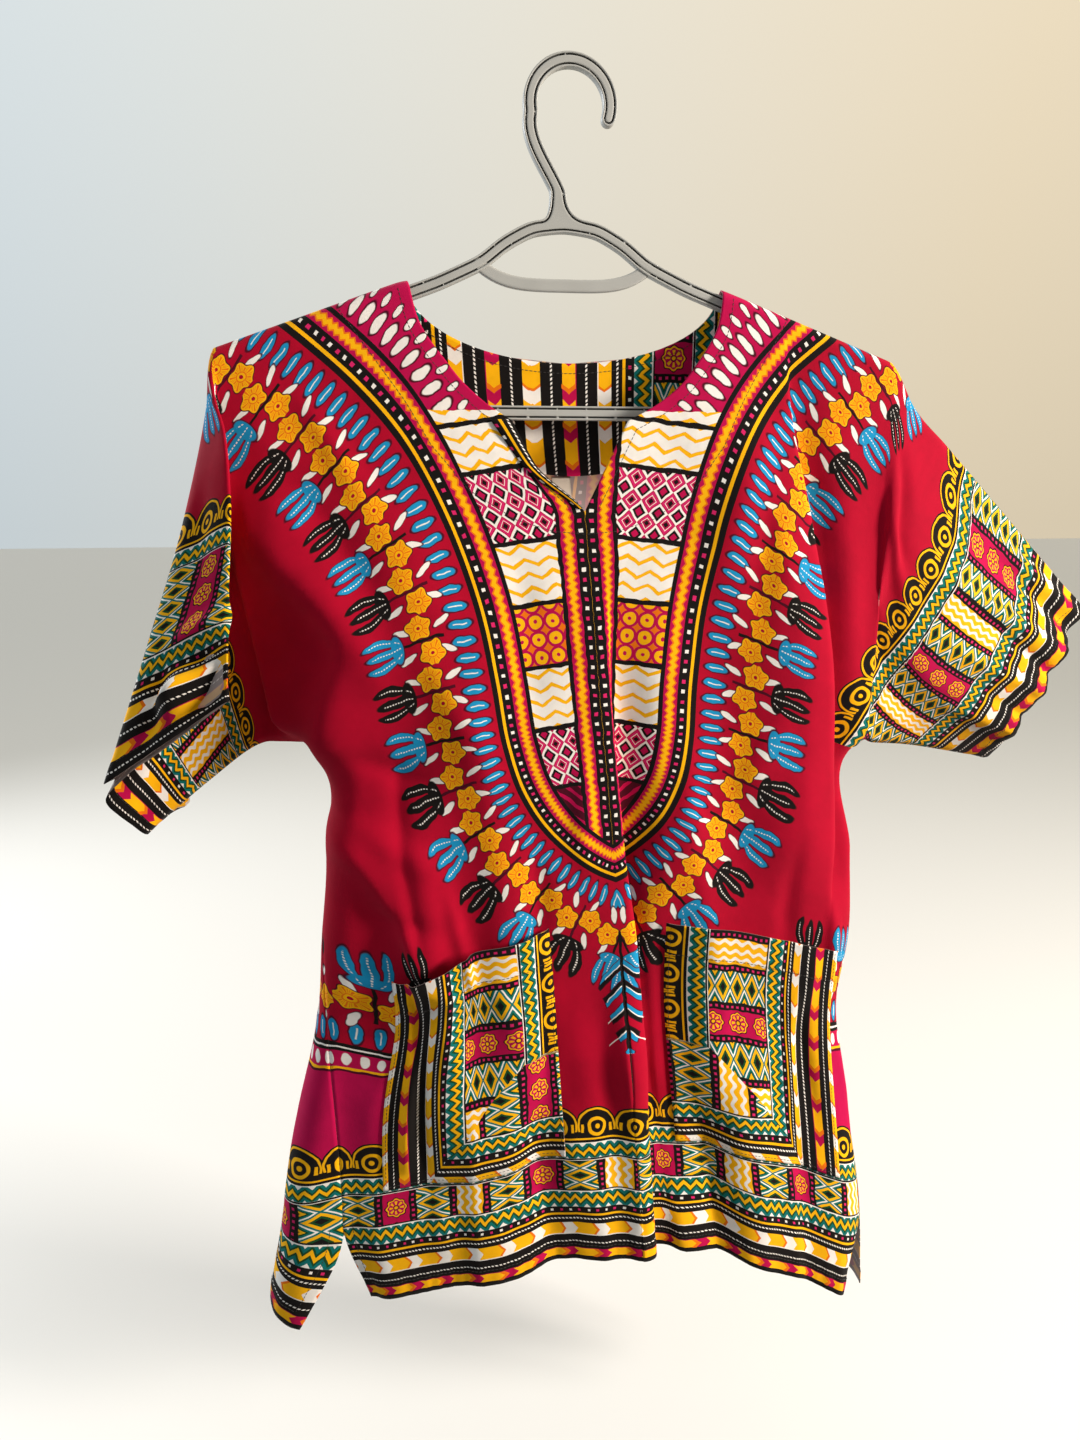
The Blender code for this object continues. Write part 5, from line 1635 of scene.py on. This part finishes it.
runs = []
foot = HEM_DROP - EDGE_TURN
for side in (-1, 1):
    for line in (neck_offset(NECK_INSET), FACING_EDGE):
        t = np.linspace(0, 1, 200)
        across, drop = (np.interp(t, np.linspace(0, 1, len(line)), column) for column in line.T)
        runs.append(above_panel(-1, side * across, drop))
    for face in (-1, 1):
        across = side * np.linspace(0.002, HALF_CHEST - SLIT_INSET, 160)
        runs.append(above_panel(face, across, np.full(160, foot)))
        drop = np.linspace(SLIT_DROP - 0.004, foot, 40)
        runs.append(above_panel(face, np.full(40, side * (HALF_CHEST - SLIT_INSET)), drop))
    for face, patches in ((-1, front_patches), (1, back_patches)):
        sleeve = patches[1 if side < 0 else 3][0]
        row = np.abs(ALONG - (1 - EDGE_TURN / SLEEVE)).argmin()
        normal = normals_of(sleeve, (0, face, 0))[row, 2:-2]
        runs.append((sleeve[row, 2:-2] + normal * WALL, normal))
    inner, outer = POCKET["inner"] + POCKET_INSET, POCKET_OUTER - POCKET_INSET
    top, low = POCKET["top"] + 0.001, POCKET_FOOT - POCKET_INSET
    hem = POCKET["top"] + POCKET_HEM
    for ends in (((inner, top), (inner, low)), ((inner, low), (outer, low)),
                 ((outer, low), (outer, top)),
                 ((POCKET["inner"] + 0.001, hem), (POCKET_OUTER - 0.001, hem))):
        across, drop = (np.linspace(a, b, 120) for a, b in zip(*ends))
        across = side * across
        runs.append(above(-1, across, drop, pocket_height(side, across, drop) + WALL))
turn = np.linspace(0.16, np.pi - 0.16, 160)
across, drop = (NECK_HALF + 0.006) * np.cos(turn), (BACK_NECK_DROP + 0.0065) * np.sin(turn)
for distance in (WALL, -2 * SEAM - WALL - 0.0001):
    runs.append(above(1, across, drop, distance))

places = np.concatenate([stitched(*run) for run in runs])
ring = np.array([[k, (k + 1) % 4, (k + 1) % 4 + 4, k + 4] for k in range(4)])
shape = np.concatenate([ring, ring + 4, [[3, 2, 1, 0], [8, 9, 10, 11]]])
faces = (shape + 12 * np.arange(len(places))[:, None, None]).reshape(-1, 4)
mesh = bpy.data.meshes.new("topstitching")
mesh.from_pydata(places.reshape(-1, 3), [], faces.tolist())
bm = bmesh.new()
bm.from_mesh(mesh)
store(bm, mesh)
mesh.shade_smooth()
stitches = new_object("topstitching", mesh)

thread, tree, shader = new_material("black_cotton_thread")
place = add_node(tree, "ShaderNodeTexCoord").outputs["Object"]
ply = add_node(tree, "ShaderNodeTexNoise", {"Vector": place, "Scale": 2500.0, "Detail": 2.0})
tone = Field(ply.outputs["Fac"])
finish(tree, shader, print_over(linear("#0C0908"), tone, linear("#2E2624")), tone, 0.4, 0.0001,
       Roughness=0.7)
mesh.materials.append(thread)
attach(stitches, "root")

# ==== room ===================================================================================
# A plain pale floor under the hanging shirt, daylight from the left and lamplight from the
# right, brightest behind the shirt, and the camera.
FLOOR_HALF, FLOOR_HEIGHT = 40, -1.02
MIDDLE = (0, 0, -0.45)  # the shirt's middle, where the lamps point
LIGHTS = [
    # name, place, aim, size, power, colour
    ("lamp_right", (2.25, -1.15, 0.35), MIDDLE, 0.6, 108, (1.0, 0.93, 0.85)),
    ("window_left", (-1.9, -0.9, 0.4), MIDDLE, 1.2, 5, (0.80, 0.90, 1.0)),
    ("back_left", (-1.7, 1.6, 0.5), MIDDLE, 0.8, 34, (0.95, 0.97, 1.0)),
    # the light that thin cotton lets through to the inside of the neck
    ("inside_neck", (0.008, -0.013, -0.306), (0, 0.0165, -0.262), 0.012, 0.026,
     (1.0, 0.95, 0.90)),
]
EYE = (-0.125, -0.715, -0.285)
YAW, PITCH, ROLL = np.radians(8.49), np.radians(10.65), -0.0072
FOCAL_SHARE = 1040 / 1440  # the focal length as a share of the frame's long side

plane = bpy.data.meshes.new("floor")
plane.from_pydata([(x * FLOOR_HALF, y * FLOOR_HALF, FLOOR_HEIGHT)
                   for x, y in ((-1, -1), (1, -1), (1, 1), (-1, 1))], [], [(0, 1, 2, 3)])
floor = new_object("floor", plane)
pale, _, shader = new_material("pale_floor")
shader.inputs["Base Color"].default_value = (.72, .71, .69, 1)
plane.materials.append(pale)
floor.visible_diffuse = False  # it stays pale without throwing light up on the cloth

world = bpy.data.worlds.new("studio")
bpy.context.scene.world = world
world.use_nodes = True
tree = world.node_tree
toward = add_node(tree, "ShaderNodeTexCoord").outputs["Generated"]
x, y, z = (Field(out) for out in add_node(tree, "ShaderNodeSeparateXYZ", [toward]).outputs)
warmth = x.math("MULTIPLY_ADD", 1.2, 0.4, clamp=True)
background = tree.nodes["Background"]
tree.links.new(print_over(linear("#DCE7EC"), warmth, linear("#F6E6C8")),
               background.inputs["Color"])
strength = y.math("MULTIPLY_ADD", 0.34, 0.46) + z.most(0.0) * 0.5
tree.links.new(strength.socket, background.inputs["Strength"])
bpy.context.scene.view_settings.view_transform = "Standard"

for name, place, aim, size, power, colour in LIGHTS:
    light = bpy.data.lights.new(name, "AREA")
    light.size, light.energy, light.color = size, power, colour
    lamp = new_object(name, light)
    lamp.location = place
    lamp.visible_camera = False
    lamp.rotation_euler = (Vector(aim) - Vector(place)).to_track_quat("-Z", "Y").to_euler()

forward = np.array([np.sin(YAW) * np.cos(PITCH), np.cos(YAW) * np.cos(PITCH), -np.sin(PITCH)])
right = np.array([np.cos(YAW), -np.sin(YAW), 0.0])
up = np.cross(right, forward)
right, up = np.cos(ROLL) * right + np.sin(ROLL) * up, np.cos(ROLL) * up - np.sin(ROLL) * right
lens = bpy.data.cameras.new("camera")
lens.sensor_fit, lens.sensor_width, lens.lens = "AUTO", 36.0, 36.0 * FOCAL_SHARE
lens.clip_start = 0.01
camera = new_object("camera", lens)
turned = np.eye(4)
turned[:3] = np.stack([right, up, -forward, EYE], 1)
camera.matrix_world = Matrix(turned.tolist())
bpy.context.scene.camera = camera
